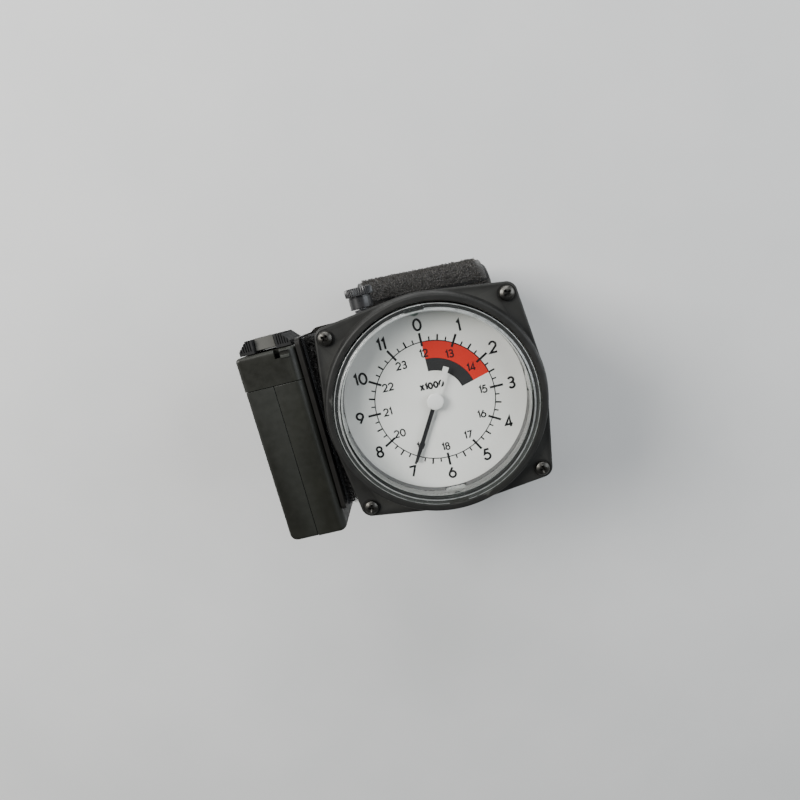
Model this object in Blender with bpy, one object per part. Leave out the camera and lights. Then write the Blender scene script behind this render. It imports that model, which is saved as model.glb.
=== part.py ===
"""Wrist-worn mechanical altimeter with a battery light box at its left side.

Every size below is in millimetres and is turned into metres when a mesh is made.
Heights are counted from the flat top of the bezel's ears; the empty named
instrument lifts everything so that the strap's flat underside lies at Z = 0.
+X runs along the housing's top edge to the right, +Y towards the dial's 0,
and +Z out of the dial.
"""
import math

import bmesh
import bpy
from mathutils import Matrix, Vector

MM = 0.001
GAP = 0.3                     # clearance between pieces that touch

# bezel, housing and their screws
SCREW_SPACING = 62.87
EAR_R = 3.9
RING_R = 39.2
RING_TOP_R = 38.2
RING_HEIGHT = 4.0
BORE_R = 35.7
BEZEL_THICK = 6.0
CASE_DEPTH = 27.0
CAVITY_STEP = 0.8             # how much wider the case is below the dial's ledge
LEDGE_WIDTH = 2.7
LEDGE_THICK = 1.8
COVER_THICK = 2.0
SCREW_HEAD_R = 2.6
SCREW_HEAD_HEIGHT = 1.6
SCREW_SHAFT_R = 1.3
SCREW_LENGTH = 14.0
BACK_SCREW_LENGTH = 9.0

# lens and its seal
LENS_CLEARANCE = 0.6
LENS_TOP = 6.0
LENS_PLATE = 3.4
LENS_WALL = 2.1
LENS_STEP_WIDTH = 1.8
LENS_RIM_DROP = 1.0
LENS_SLOT_WIDTH = 7.0
LENS_BOSS_WIDTH = 6.4
SEAL_R = 0.45
SEAL_HEIGHT = -0.5
SPACER_WALL = 1.0
SPACER_TOP = -3.0
SPACER_BASE = 0.5             # height of the spacer's unbroken lower ring
TAB_WIDTH = 7.0

# dial, light panel and pointer
DIAL_TOP = -6.8
DIAL_THICK = 0.8
PANEL_THICK = 0.6
DIAL_HOLE_R = 1.6
NOTCH_R = 1.9
POINTER_R = 24.0
POINTER_HEIGHT = -5.7
POINTER_THICK = 0.5
POINTER_REST_DEG = 210.0      # clockwise from the dial's 0: the hand stands at 7
HUB_R = 3.0
TAIL_R = 13.1
HAND_WIDTH = 1.3
HAND_TIP_WIDTH = 0.9
HAND_TIP_LENGTH = 5.0
TAIL_WIDTH = 0.6
FLAG_WIDTH = 2.0
FLAG_LENGTH = 2.9

# setting knob
KNOB_X = -17.8
KNOB_HEIGHT = -15.0
KNOB_SKIRT_R = 4.3
KNOB_R = 5.1
KNOB_CLEARANCE = 0.35         # from the case's side to the knob's skirt
KNOB_SKIRT_LENGTH = 4.6
KNOB_LENGTH = 7.6
KNOB_RIBS = 40
KNOB_SHAFT_R = 1.5
BUSHING_R = 3.0
SETTING_PINION_TEETH = 6
SETTING_PINION_R = 3.0
CROWN_TEETH = 75             # as counted round a full turn
CROWN_TEETH_MADE = 22         # only the stretch that the setting range uses

# movement
CUP_MARGIN = 4.5              # from the cup's rim to the wall of the case
CUP_WALL = 4.0
CUP_BASE = 1.0
CUP_CLEARANCE = 1.6           # between the cup and the back cover
CROWN_TOOTH_HEIGHT = 1.6
CROWN_TOOTH_WIDTH = 0.5
CROWN_CLEARANCE = 0.65
PIVOT_R = 4.0
BRIDGE_R = 24.0
BRIDGE_THICK = 1.0
BRIDGE_TOP = -12.0
PILLAR_R = 1.6
PILLAR_CIRCLE_R = 21.0
PILLAR_ANGLES = (50.0, 160.0, 262.0)
GEAR_MODULE = 0.5
PINION_TEETH = 8
WHEEL_TEETH = 40
SECTOR_TEETH = 56
SECTOR_FIRST = -3
SECTOR_COUNT = 8
SECTOR_DIRECTION_DEG = 30.0   # from the sector's arbor towards the transfer arbor
ARBOR_R = 0.8
GEAR_THICK = 0.8
PINION_LENGTH = 2.0
WHEEL_HEIGHT = -14.8
SECTOR_HEIGHT = -19.6
ARM_LENGTH = 6.0
ARM_WIDTH = 3.0
FORK_WIDTH = 1.5
DRIVE_PIN_R = 0.5
ROD_HEIGHT = -17.6
BELLOWS_R = 4.0
BELLOWS_NECK_R = 2.8
BELLOWS_FOLDS = 5
BELLOWS_START = 4.4
BELLOWS_LENGTH = 12.6

# battery box
BOX_WIDTH = 21.3
BOX_DEPTH = 33.0
BOX_START = -38.2
BOX_LENGTH = 70.1
BOX_WALL = 1.6
BOX_ROUND = 3.0
BOX_EDGE = 1.2
END_SECTION = 12.0
BULKHEAD = 1.5
WIRE_HOLE_R = 2.0
COVER_INSET = 0.15
BATTERY_WIDTH = 17.5
BATTERY_DEPTH = 26.5
BATTERY_LENGTH = 46.4
TERMINAL_HEIGHT = 2.4
TERMINAL_SPACING = 12.7
SNAP_THICK = 2.6

# light switch
GUARD_WIDTH = 18.6
GUARD_LENGTH = 4.8
GUARD_TOP = -3.0
GUARD_HEIGHT = 19.0
ROCKER_WIDTH = 7.4
ROCKER_PIVOT_HEIGHT = -12.0
ROCKER_HALF = 7.0
ROCKER_RISE = 4.4
SWITCH_HALF_WIDTH = 6.0
SWITCH_HALF_HEIGHT = 8.0
SWITCH_SET_BACK = 1.2         # behind the end face, so that the rocker can tip

# bracket, liner, pad and strap
BRACKET_THICK = 1.6
BRACKET_TOP = -1.0
BRACKET_SHORT = 7.2            # how far the bracket stops short of the box's -Y end
BRACKET_OVER = 2.1             # how far it reaches beyond the box's +Y end
FOOT_MARGIN = 3.965            # from the screws' axes to the foot's edge
LINER_THICK = 0.9
LINER_CLEARANCE = 0.4
CASE_SCREW_Y = 24.0
CASE_SCREW_HEIGHT = -20.0
CASE_SCREW_HEAD_R = 2.2
CASE_SCREW_HEAD_HEIGHT = 1.3
CASE_SCREW_R = 1.0
STRAP_WIDTH = 50.8
STRAP_CENTRE_X = 7.0
STRAP_THICK = 2.0
STRAP_OVERHANG = 9.1           # from the foot's edge to the outside of the strap's bend
STRAP_LOOP_HEIGHT = 48.0
STRAP_TOP_ROUND = 12.5
STRAP_BOTTOM_ROUND = 16.0
TAIL_THICK = 1.8
TAIL_SHIFT = -1.5
TAIL_DROP = 34.0
PAD_THICK = 5.0
PAD_RIGHT = 36.0
PAD_HALF_LENGTH = 32.0
PAD_ROUND = 6.0

# lead from the box to the housing
LEAD_R = 1.2
LEAD_Y = 27.5
LEAD_HEIGHT = -12.0
LEAD_IN_BOX = 3.3
LEAD_IN_CASE = 2.7             # how far the lead runs past the grommet's face
GROMMET_R = 2.2
GROMMET_INSET = 0.59           # from the case's side to the grommet's face
GROMMET_LENGTH = 2.1

# places worked out from the sizes above
SCREW_HALF = SCREW_SPACING / 2
CORNERS = ((1, 1), (-1, 1), (-1, -1), (1, -1))
EAR_REACH = SCREW_HALF * math.sqrt(2)
EAR_SPREAD = min(math.pi / 4, math.acos((RING_R - EAR_R) / EAR_REACH))    # half of an ear's round end
SIDE_REACH = EAR_REACH * math.cos(EAR_SPREAD) + EAR_R                     # from the axis to a straight side
SIDE_LEAN = math.pi / 4 - EAR_SPREAD
CASE_REACH = max(RING_R, SCREW_HALF + EAR_R)
CAVITY_R = BORE_R + CAVITY_STEP
LEDGE_R = BORE_R - LEDGE_WIDTH
SLEEVE_START = math.sqrt(CAVITY_R ** 2 - (abs(KNOB_X) - BUSHING_R) ** 2) - 2
CUP_R = CAVITY_R - CUP_MARGIN
SETTING_PINION_Y = math.sqrt((CUP_R - CUP_WALL / 2) ** 2 - KNOB_X ** 2)
LENS_R = BORE_R - LENS_CLEARANCE
LENS_FACE_R = LENS_R - LENS_STEP_WIDTH
DIAL_BOTTOM = DIAL_TOP - DIAL_THICK
PANEL_BOTTOM = DIAL_BOTTOM - GAP - PANEL_THICK
LEDGE_TOP = PANEL_BOTTOM - GAP
COVER_TOP = -CASE_DEPTH - GAP
COVER_BOTTOM = COVER_TOP - COVER_THICK
FOOT_TOP = COVER_BOTTOM - GAP
FOOT_BOTTOM = FOOT_TOP - BRACKET_THICK
STRAP_TOP = FOOT_BOTTOM - GAP
STRAP_BOTTOM = STRAP_TOP - STRAP_LOOP_HEIGHT
PAD_TOP = STRAP_TOP - STRAP_THICK - GAP
CUP_BOTTOM = COVER_TOP + CUP_CLEARANCE + GAP
CUP_FLOOR = CUP_BOTTOM + CUP_BASE
CROWN_TOP = KNOB_HEIGHT - SETTING_PINION_R + CROWN_CLEARANCE - 0.2
RIM_TOP = CROWN_TOP - CROWN_TOOTH_HEIGHT
BRIDGE_BOTTOM = BRIDGE_TOP - BRIDGE_THICK
TRANSFER_X = GEAR_MODULE * (WHEEL_TEETH + PINION_TEETH) / 2
SECTOR_DISTANCE = GEAR_MODULE * (SECTOR_TEETH + PINION_TEETH) / 2
SECTOR_ANGLE = math.radians(SECTOR_DIRECTION_DEG)
SECTOR_X = TRANSFER_X - SECTOR_DISTANCE * math.cos(SECTOR_ANGLE)
SECTOR_Y = -SECTOR_DISTANCE * math.sin(SECTOR_ANGLE)
ARBOR_TOP = BRIDGE_TOP + 0.8
ARBOR_BOTTOM = CUP_FLOOR + GAP
ROD_Y = SECTOR_Y - ARM_LENGTH
LINER_X = -CASE_REACH - LINER_CLEARANCE - LINER_THICK
BRACKET_X = LINER_X - GAP - BRACKET_THICK
BOX_RIGHT = BRACKET_X - GAP
BOX_LEFT = BOX_RIGHT - BOX_WIDTH
BOX_END = BOX_START + BOX_LENGTH
BOX_MIDDLE = BOX_RIGHT - BOX_WIDTH / 2
SEAM_Y = BOX_END - END_SECTION
BRACKET_START = BOX_START + BRACKET_SHORT
BRACKET_END = BOX_END + BRACKET_OVER
FOOT_LENGTH = SCREW_HALF + FOOT_MARGIN
STRAP_HALF_LENGTH = FOOT_LENGTH + STRAP_OVERHANG
FACE_HEIGHT = -STRAP_BOTTOM


def case_side(along):
    """How far out the case's straight side is, at a distance along it from the dial's axis."""
    return (SIDE_REACH - abs(along) * math.sin(SIDE_LEAN)) / math.cos(SIDE_LEAN)


KNOB_START = case_side(abs(KNOB_X) - KNOB_SKIRT_R) + KNOB_CLEARANCE
GROMMET_START = -case_side(LEAD_Y) + GROMMET_INSET
GROMMET_END = GROMMET_START + GROMMET_LENGTH
LEAD_START = BOX_RIGHT - LEAD_IN_BOX
LEAD_END = GROMMET_START + LEAD_IN_CASE


# ---------------------------------------------------------------- outlines

def arc(centre_x, centre_y, radius, start_deg, end_deg, count):
    """Points along a circular arc, both ends included."""
    points = []
    for k in range(count):
        angle = math.radians(start_deg + (end_deg - start_deg) * k / (count - 1))
        points.append((centre_x + radius * math.cos(angle), centre_y + radius * math.sin(angle)))
    return points


def circle(radius, count):
    """Full circle about the origin."""
    return [(radius * math.cos(2 * math.pi * k / count), radius * math.sin(2 * math.pi * k / count))
            for k in range(count)]


def rounded_rectangle(x0, x1, y0, y1, radius, count=5):
    """Rectangle outline with round corners, anticlockwise."""
    points = arc(x1 - radius, y0 + radius, radius, -90, 0, count)
    points += arc(x1 - radius, y1 - radius, radius, 0, 90, count)
    points += arc(x0 + radius, y1 - radius, radius, 90, 180, count)
    points += arc(x0 + radius, y0 + radius, radius, 180, 270, count)
    return points


def case_outline(inset=0.0):
    """Round ring joined to four corner ears by straight tangent edges; a square if the ring is inside it."""
    spread = math.degrees(EAR_SPREAD)
    points = []
    for corner in (45, 135, 225, 315):
        x = EAR_REACH * math.cos(math.radians(corner))
        y = EAR_REACH * math.sin(math.radians(corner))
        points += arc(x, y, EAR_R - inset, corner - spread, corner + spread, 7)
        if SIDE_LEAN > 0:
            points += arc(0, 0, RING_R - inset, corner + spread, corner + 90 - spread, 5)
    return points


def gear_outline(teeth, module, first_deg=0.0):
    """Spur gear outline whose first tooth points at first_deg."""
    tip = module * (teeth / 2 + 0.8)
    root = module * (teeth / 2 - 1.1)
    pitch = 360 / teeth
    points = []
    for k in range(teeth):
        middle = first_deg + k * pitch
        for radius, share in ((root, -0.24), (tip, -0.08), (tip, 0.08), (root, 0.24)):
            angle = math.radians(middle + share * pitch)
            points.append((radius * math.cos(angle), radius * math.sin(angle)))
    return points


# ---------------------------------------------------------------- solids

def stack(layers):
    """Closed solid through equal-length outlines at rising heights."""
    bm = bmesh.new()
    rings = []
    for outline, height in layers:
        rings.append([bm.verts.new((x * MM, y * MM, height * MM)) for x, y in outline])
    for low, high in zip(rings, rings[1:]):
        for k in range(len(low)):
            n = (k + 1) % len(low)
            bm.faces.new((low[k], low[n], high[n], high[k]))
    bm.faces.new(list(reversed(rings[0])))
    bm.faces.new(rings[-1])
    bmesh.ops.recalc_face_normals(bm, faces=bm.faces)
    return bm


def prism(outline, low, high):
    """Straight solid between two heights."""
    return stack([(outline, low), (outline, high)])


def block(x0, x1, y0, y1, z0, z1):
    """Plain rectangular solid."""
    return prism([(x0, y0), (x1, y0), (x1, y1), (x0, y1)], z0, z1)


def turned(profile, steps=48):
    """Closed solid made by turning a closed (radius, height) outline about +Z."""
    bm = bmesh.new()
    rings = []
    for radius, height in profile:
        count = steps if radius > 0 else 1
        ring = []
        for k in range(count):
            angle = 2 * math.pi * k / steps
            x = radius * math.cos(angle) * MM
            y = radius * math.sin(angle) * MM
            ring.append(bm.verts.new((x, y, height * MM)))
        rings.append(ring)
    for low, high in zip(rings, rings[1:] + rings[:1]):
        if len(low) == 1 and len(high) == 1:
            continue
        for k in range(steps):
            n = (k + 1) % steps
            if len(low) == 1:
                bm.faces.new((low[0], high[n], high[k]))
            elif len(high) == 1:
                bm.faces.new((low[k], low[n], high[0]))
            else:
                bm.faces.new((low[k], low[n], high[n], high[k]))
    bmesh.ops.recalc_face_normals(bm, faces=bm.faces)
    return bm


def rod(radius, low, high, steps=16):
    """Plain round bar along +Z."""
    return prism(circle(radius, steps), low, high)


def moved(bm, x=0.0, y=0.0, z=0.0):
    """Shift a mesh by millimetres."""
    bmesh.ops.translate(bm, verts=bm.verts, vec=Vector((x, y, z)) * MM)
    return bm


def turned_to(bm, axis):
    """Turn a mesh built along +Z so that it runs along +X or +Y."""
    spin = {"X": Matrix.Rotation(math.radians(90), 3, "Y"),
            "Y": Matrix.Rotation(math.radians(-90), 3, "X")}[axis]
    bmesh.ops.rotate(bm, verts=bm.verts, cent=(0, 0, 0), matrix=spin)
    return bm


def turned_about_z(bm, degrees):
    """Turn a mesh about +Z through the origin."""
    spin = Matrix.Rotation(math.radians(degrees), 3, "Z")
    bmesh.ops.rotate(bm, verts=bm.verts, cent=(0, 0, 0), matrix=spin)
    return bm


def bevelled(bm, width, chosen, segments=2):
    """Round the edges for which chosen(edge) is true."""
    edges = [edge for edge in bm.edges if chosen(edge)]
    bmesh.ops.bevel(bm, geom=edges, offset=width * MM, segments=segments, affect="EDGES", profile=0.5)
    return bm


# ---------------------------------------------------------------- objects

def clear_scene():
    """Start from an empty scene."""
    for ob in list(bpy.data.objects):
        bpy.data.objects.remove(ob, do_unlink=True)


def surface(name, colour, roughness, metallic=0.0, alpha=1.0):
    """Principled material."""
    mat = bpy.data.materials.new(name)
    mat.use_nodes = True
    shader = mat.node_tree.nodes["Principled BSDF"]
    shader.inputs["Base Color"].default_value = (*colour, 1.0)
    shader.inputs["Roughness"].default_value = roughness
    shader.inputs["Metallic"].default_value = metallic
    shader.inputs["Alpha"].default_value = alpha
    mat.diffuse_color = (*colour, alpha)
    return mat


def placed(name, bm, at, parent):
    """Object from a mesh, at a place in millimetres under its parent."""
    mesh = bpy.data.meshes.new(name)
    bm.to_mesh(mesh)
    bm.free()
    ob = bpy.data.objects.new(name, mesh)
    ob.location = Vector(at) * MM
    ob.parent = parent
    bpy.context.scene.collection.objects.link(ob)
    return ob


class Model:
    """Makes the sub-parts under one empty."""

    def __init__(self):
        self.root = bpy.data.objects.new("instrument", None)
        self.root.location = (0, 0, FACE_HEIGHT * MM)
        bpy.context.scene.collection.objects.link(self.root)

    def part(self, name, bm, look, at=(0, 0, 0), turn_deg=0.0, plus=(), minus=(), common=()):
        """Sub-part with its own material, and solids added to, cut from or shared with it."""
        ob = placed(name, bm, at, self.root)
        ob.rotation_euler = (0, 0, math.radians(turn_deg))
        ob.data.materials.append(surface(name, *look))
        ob.data.shade_smooth()
        ob.data.set_sharp_from_angle(angle=math.radians(35))
        for operation, solids in (("UNION", plus), ("DIFFERENCE", minus), ("INTERSECT", common)):
            for count, solid in enumerate(solids):
                helper = placed(f"{name}_{operation.lower()}_{count}", solid, at, self.root)
                helper.rotation_euler = ob.rotation_euler
                helper.hide_render = True
                helper.display_type = "WIRE"
                modifier = ob.modifiers.new(operation.title() + str(count), "BOOLEAN")
                modifier.operation = operation
                modifier.solver = "EXACT"
                modifier.object = helper
        return ob


CHARCOAL = ((0.035, 0.036, 0.038), 0.62)
OLIVE_BLACK = ((0.030, 0.031, 0.027), 0.55)
BLACK = ((0.012, 0.012, 0.013), 0.45)
RUBBER = ((0.015, 0.015, 0.016), 0.85)
FABRIC = ((0.020, 0.019, 0.019), 0.95)
GREY = ((0.16, 0.16, 0.155), 0.6)
DARK_STEEL = ((0.12, 0.12, 0.12), 0.35, 1.0)
STEEL = ((0.55, 0.55, 0.56), 0.3, 1.0)
BRASS = ((0.72, 0.56, 0.28), 0.3, 1.0)
CLEAR = ((0.9, 0.93, 0.95), 0.05, 0.0, 0.3)
WHITE = ((0.85, 0.86, 0.84), 0.4)
PANEL = ((0.62, 0.75, 0.66), 0.5)
GREEN_BOARD = ((0.03, 0.16, 0.07), 0.5)


# ---------------------------------------------------------------- housing

def cross_recess(depth, top):
    """Cutter for a cross-head recess."""
    cross = [(0.3, 0.3), (0.3, 1.5), (-0.3, 1.5), (-0.3, 0.3), (-1.5, 0.3), (-1.5, -0.3),
             (-0.3, -0.3), (-0.3, -1.5), (0.3, -1.5), (0.3, -0.3), (1.5, -0.3), (1.5, 0.3)]
    return prism(cross, top - depth, top + 1)


def make_bezel(model):
    """Flange with four ears, and the round ring that stands on it."""
    flange = stack([(case_outline(), -BEZEL_THICK), (case_outline(), -0.9),
                    (case_outline(0.3), -0.25), (case_outline(0.9), 0.0)])
    ring = turned([(BORE_R - 2, -1.5), (RING_R - 0.4, -1.5), (RING_R - 0.4, 1.2), (RING_R - 0.6, 2.6),
                   (RING_TOP_R, RING_HEIGHT - 0.3), (RING_TOP_R - 0.7, RING_HEIGHT),
                   (BORE_R - 2, RING_HEIGHT)], 48)
    bore = turned([(0, -BEZEL_THICK - 1), (BORE_R, -BEZEL_THICK - 1), (BORE_R, RING_HEIGHT - 0.4),
                   (BORE_R + 0.4, RING_HEIGHT + 1), (0, RING_HEIGHT + 1)], 48)
    holes = [moved(rod(SCREW_SHAFT_R + GAP, -BEZEL_THICK - 1, 1), SCREW_HALF * x, SCREW_HALF * y)
             for x, y in CORNERS]
    model.part("front_bezel", flange, CHARCOAL, plus=[ring], minus=[bore] + holes)


def make_screws(model):
    """Four pan screws from the front and four countersunk screws from the back."""
    head = SCREW_HEAD_HEIGHT + GAP
    for number, (x, y) in enumerate(CORNERS, 1):
        pan = turned([(0, -SCREW_LENGTH), (SCREW_SHAFT_R, -SCREW_LENGTH), (SCREW_SHAFT_R, GAP),
                      (SCREW_HEAD_R, GAP), (SCREW_HEAD_R, head - 0.7), (SCREW_HEAD_R - 0.9, head),
                      (0, head)], 16)
        model.part(f"bezel_screw_{number}", pan, DARK_STEEL, (SCREW_HALF * x, SCREW_HALF * y, 0),
                   turn_deg=20 * number, minus=[cross_recess(0.9, head)])
    for number, (x, y) in enumerate(CORNERS, 1):
        low = FOOT_BOTTOM
        cone = turned([(0, low), (SCREW_HEAD_R, low), (SCREW_HEAD_R, low + 0.2),
                       (SCREW_SHAFT_R, low + 1.5), (SCREW_SHAFT_R, low + BACK_SCREW_LENGTH),
                       (0, low + BACK_SCREW_LENGTH)], 16)
        recess = moved(cross_recess(0.9, 0), 0, 0, low - 0.1)
        model.part(f"back_screw_{number}", cone, DARK_STEEL, (SCREW_HALF * x, SCREW_HALF * y, 0),
                   turn_deg=35 * number, minus=[recess])


def make_housing(model):
    """Case behind the bezel, open to the back, with a ledge for the dial."""
    body = prism(case_outline(), -CASE_DEPTH, -BEZEL_THICK - GAP)
    hollow = turned([(0, -CASE_DEPTH - 1), (CAVITY_R, -CASE_DEPTH - 1), (CAVITY_R, LEDGE_TOP - LEDGE_THICK),
                     (LEDGE_R, LEDGE_TOP - LEDGE_THICK), (LEDGE_R, LEDGE_TOP), (BORE_R, LEDGE_TOP),
                     (BORE_R, 0), (0, 0)], 48)
    cuts = [hollow]
    for x, y in CORNERS:
        cuts.append(moved(rod(SCREW_SHAFT_R + GAP, -SCREW_LENGTH - GAP, 0), SCREW_HALF * x, SCREW_HALF * y))
        depth = FOOT_BOTTOM + BACK_SCREW_LENGTH + GAP
        cuts.append(moved(rod(SCREW_SHAFT_R + GAP, -CASE_DEPTH - 1, depth), SCREW_HALF * x, SCREW_HALF * y))
    cuts.append(moved(turned_to(rod(BUSHING_R + GAP, SLEEVE_START - 5, KNOB_START), "Y"), KNOB_X, 0, KNOB_HEIGHT))
    cuts.append(moved(turned_to(rod(GROMMET_R + GAP, GROMMET_START - 5, LEAD_END + GAP), "X"),
                      0, LEAD_Y, LEAD_HEIGHT))
    model.part("housing_body", body, CHARCOAL, minus=cuts)


def make_lens(model):
    """Clear cup with four tabs, the black spacer ring they key into, and the seal."""
    rim = LENS_TOP - LENS_RIM_DROP
    under = LENS_TOP - LENS_PLATE
    bottom = DIAL_TOP + GAP
    inner = LENS_R - LENS_WALL
    groove = LENS_R - 2 * SEAL_R
    rebate = inner + SPACER_WALL + GAP
    cup = turned([(0, under), (inner, under), (inner, SPACER_TOP + GAP), (rebate, SPACER_TOP + GAP),
                  (rebate, bottom), (LENS_R, bottom),
                  (LENS_R, SEAL_HEIGHT - SEAL_R - GAP), (groove, SEAL_HEIGHT - SEAL_R - GAP),
                  (groove, SEAL_HEIGHT + SEAL_R + GAP), (LENS_R, SEAL_HEIGHT + SEAL_R + GAP),
                  (LENS_R, rim), (LENS_FACE_R + 0.3, rim),
                  (LENS_FACE_R, LENS_TOP), (0, LENS_TOP)], 48)
    half = LENS_SLOT_WIDTH / 2
    slot = block(-half, half, -LENS_R - 1, -LENS_FACE_R - 0.4, SEAL_HEIGHT + 1.2, LENS_TOP + 1)
    low = LENS_BOSS_WIDTH / 2
    boss = prism(rounded_rectangle(-low, low, LENS_FACE_R - 0.4, LENS_R - 0.2, 0.8), rim - 0.5, LENS_TOP)
    recess = prism(rounded_rectangle(1.0 - low, low - 1.0, LENS_FACE_R + 0.25, LENS_R - 0.85, 0.3),
                   rim - 0.2, LENS_TOP + 1)
    tabs = []
    for quarter in range(4):
        tab = block(-TAB_WIDTH / 2, TAB_WIDTH / 2, inner + 0.05, rebate + 0.4,
                    bottom + SPACER_BASE + GAP, SPACER_TOP + 2 * GAP)
        tabs.append(turned_about_z(tab, 90 * quarter))
    model.part("lens", cup, CLEAR, plus=[boss] + tabs, minus=[slot, recess])

    ring = turned([(inner, bottom), (inner + SPACER_WALL, bottom), (inner + SPACER_WALL, SPACER_TOP),
                   (inner, SPACER_TOP)], 48)
    notches = []
    for quarter in range(4):
        notch = block(-TAB_WIDTH / 2 - GAP, TAB_WIDTH / 2 + GAP, inner - 2, LENS_R,
                      bottom + SPACER_BASE, SPACER_TOP + 1)
        notches.append(turned_about_z(notch, 90 * quarter))
    model.part("dial_spacer", ring, BLACK, minus=notches)
    section = [(LENS_R - SEAL_R + 0.15 + x, SEAL_HEIGHT + z) for x, z in arc(0, 0, SEAL_R, 0, 300, 6)]
    model.part("lens_seal", turned(section, 40), RUBBER)


def make_dial(model):
    """Printed dial and the glowing sheet behind it."""
    edge = BORE_R - 0.4
    disc = turned([(DIAL_HOLE_R, DIAL_BOTTOM), (edge, DIAL_BOTTOM), (edge, DIAL_TOP), (DIAL_HOLE_R, DIAL_TOP)], 48)
    sight = [(NOTCH_R, BORE_R + 1), (-NOTCH_R, BORE_R + 1)]
    sight += arc(0, LENS_R - LENS_WALL, NOTCH_R, 180, 360, 13)
    notch = prism(sight, DIAL_BOTTOM - 1, DIAL_TOP + 1)
    model.part("dial", disc, WHITE, minus=[notch])
    top = PANEL_BOTTOM + PANEL_THICK
    sheet = turned([(DIAL_HOLE_R, PANEL_BOTTOM), (edge, PANEL_BOTTOM), (edge, top), (DIAL_HOLE_R, top)], 48)
    model.part("light_panel", sheet, PANEL)


def make_back_cover(model):
    """Back plate with the movement's pivot socket."""
    plate = prism(case_outline(), COVER_BOTTOM, COVER_TOP)
    top = COVER_TOP + CUP_CLEARANCE
    inner = PIVOT_R + GAP
    outer = PIVOT_R + 3
    socket = turned([(inner, COVER_TOP - 0.5), (outer, COVER_TOP - 0.5), (outer, top), (inner, top)], 24)
    holes = []
    for x, y in CORNERS:
        hole = rod(SCREW_SHAFT_R + GAP, COVER_BOTTOM - 1, COVER_TOP + 1)
        holes.append(moved(hole, SCREW_HALF * x, SCREW_HALF * y))
    model.part("back_cover", plate, BLACK, plus=[socket], minus=holes)


# ---------------------------------------------------------------- setting knob

def make_knob(model):
    """Ribbed knob, its shaft with the setting pinion, and the bearing sleeve."""
    ribs = []
    for k in range(KNOB_RIBS):
        middle = 2 * math.pi * k / KNOB_RIBS
        for share, radius in ((-0.3, KNOB_R - 0.35), (-0.15, KNOB_R), (0.15, KNOB_R), (0.3, KNOB_R - 0.35)):
            angle = middle + share * 2 * math.pi / KNOB_RIBS
            ribs.append((radius * math.cos(angle), radius * math.sin(angle)))
    cap = turned_to(prism(ribs, KNOB_START + KNOB_SKIRT_LENGTH, KNOB_START + KNOB_LENGTH), "Y")
    start = KNOB_START
    hole = KNOB_SHAFT_R + GAP / 2
    end = start + KNOB_SKIRT_LENGTH + 0.5
    skirt = turned([(0, start), (KNOB_SKIRT_R - 0.4, start), (KNOB_SKIRT_R, start + 0.4),
                    (KNOB_SKIRT_R, end), (0, end)], 40)
    bore = turned_to(rod(hole, start - 1, start + KNOB_LENGTH - 1.2), "Y")
    axis = (KNOB_X, 0, KNOB_HEIGHT)
    model.part("setting_knob", cap, BLACK, axis, plus=[turned_to(skirt, "Y")], minus=[bore])

    tooth = []
    for k in range(SETTING_PINION_TEETH):
        middle = 90 + k * 360 / SETTING_PINION_TEETH
        for radius, share in ((SETTING_PINION_R - 1.2, -11), (SETTING_PINION_R + 0.4, -4),
                              (SETTING_PINION_R + 0.4, 4), (SETTING_PINION_R - 1.2, 11)):
            angle = math.radians(middle + share)
            tooth.append((radius * math.cos(angle), radius * math.sin(angle)))
    pinion = turned_to(prism(tooth, SETTING_PINION_Y - 0.4, SETTING_PINION_Y + 0.4), "Y")
    shaft = turned_to(rod(KNOB_SHAFT_R, SETTING_PINION_Y - 0.2, start + KNOB_LENGTH - 1.5), "Y")
    model.part("knob_shaft", shaft, STEEL, axis, plus=[pinion])

    low = SLEEVE_START
    sleeve = turned([(KNOB_SHAFT_R + 0.1, low), (BUSHING_R, low), (BUSHING_R, start - GAP),
                     (KNOB_SHAFT_R + 0.1, start - GAP)], 32)
    model.part("knob_bushing", turned_to(sleeve, "Y"), BLACK, axis)


# ---------------------------------------------------------------- movement

def make_cup(model):
    """Turning carrier: base, rim with crown teeth, and pivot spigot."""
    inner = CUP_R - CUP_WALL
    spigot = COVER_TOP + GAP
    cup = turned([(0, spigot), (PIVOT_R, spigot), (PIVOT_R, CUP_BOTTOM), (CUP_R, CUP_BOTTOM),
                  (CUP_R, RIM_TOP), (inner, RIM_TOP), (inner, CUP_FLOOR), (0, CUP_FLOOR)], 48)
    meeting = math.degrees(math.atan2(SETTING_PINION_Y, KNOB_X))
    pitch = 360 / CROWN_TEETH
    half = CROWN_TOOTH_WIDTH / 2
    crown = bmesh.new()
    for k in range(-CROWN_TEETH_MADE // 2, CROWN_TEETH_MADE // 2):
        angle = math.radians(meeting + (k + 0.5) * pitch)
        rib = block(inner + 0.3, CUP_R - 0.3, -half, half, RIM_TOP - 0.4, CROWN_TOP)
        turned_about_z(rib, math.degrees(angle))
        mesh = bpy.data.meshes.new("rib")
        rib.to_mesh(mesh)
        rib.free()
        crown.from_mesh(mesh)
        bpy.data.meshes.remove(mesh)
    model.part("movement_cup", cup, BRASS, plus=[crown])


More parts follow.
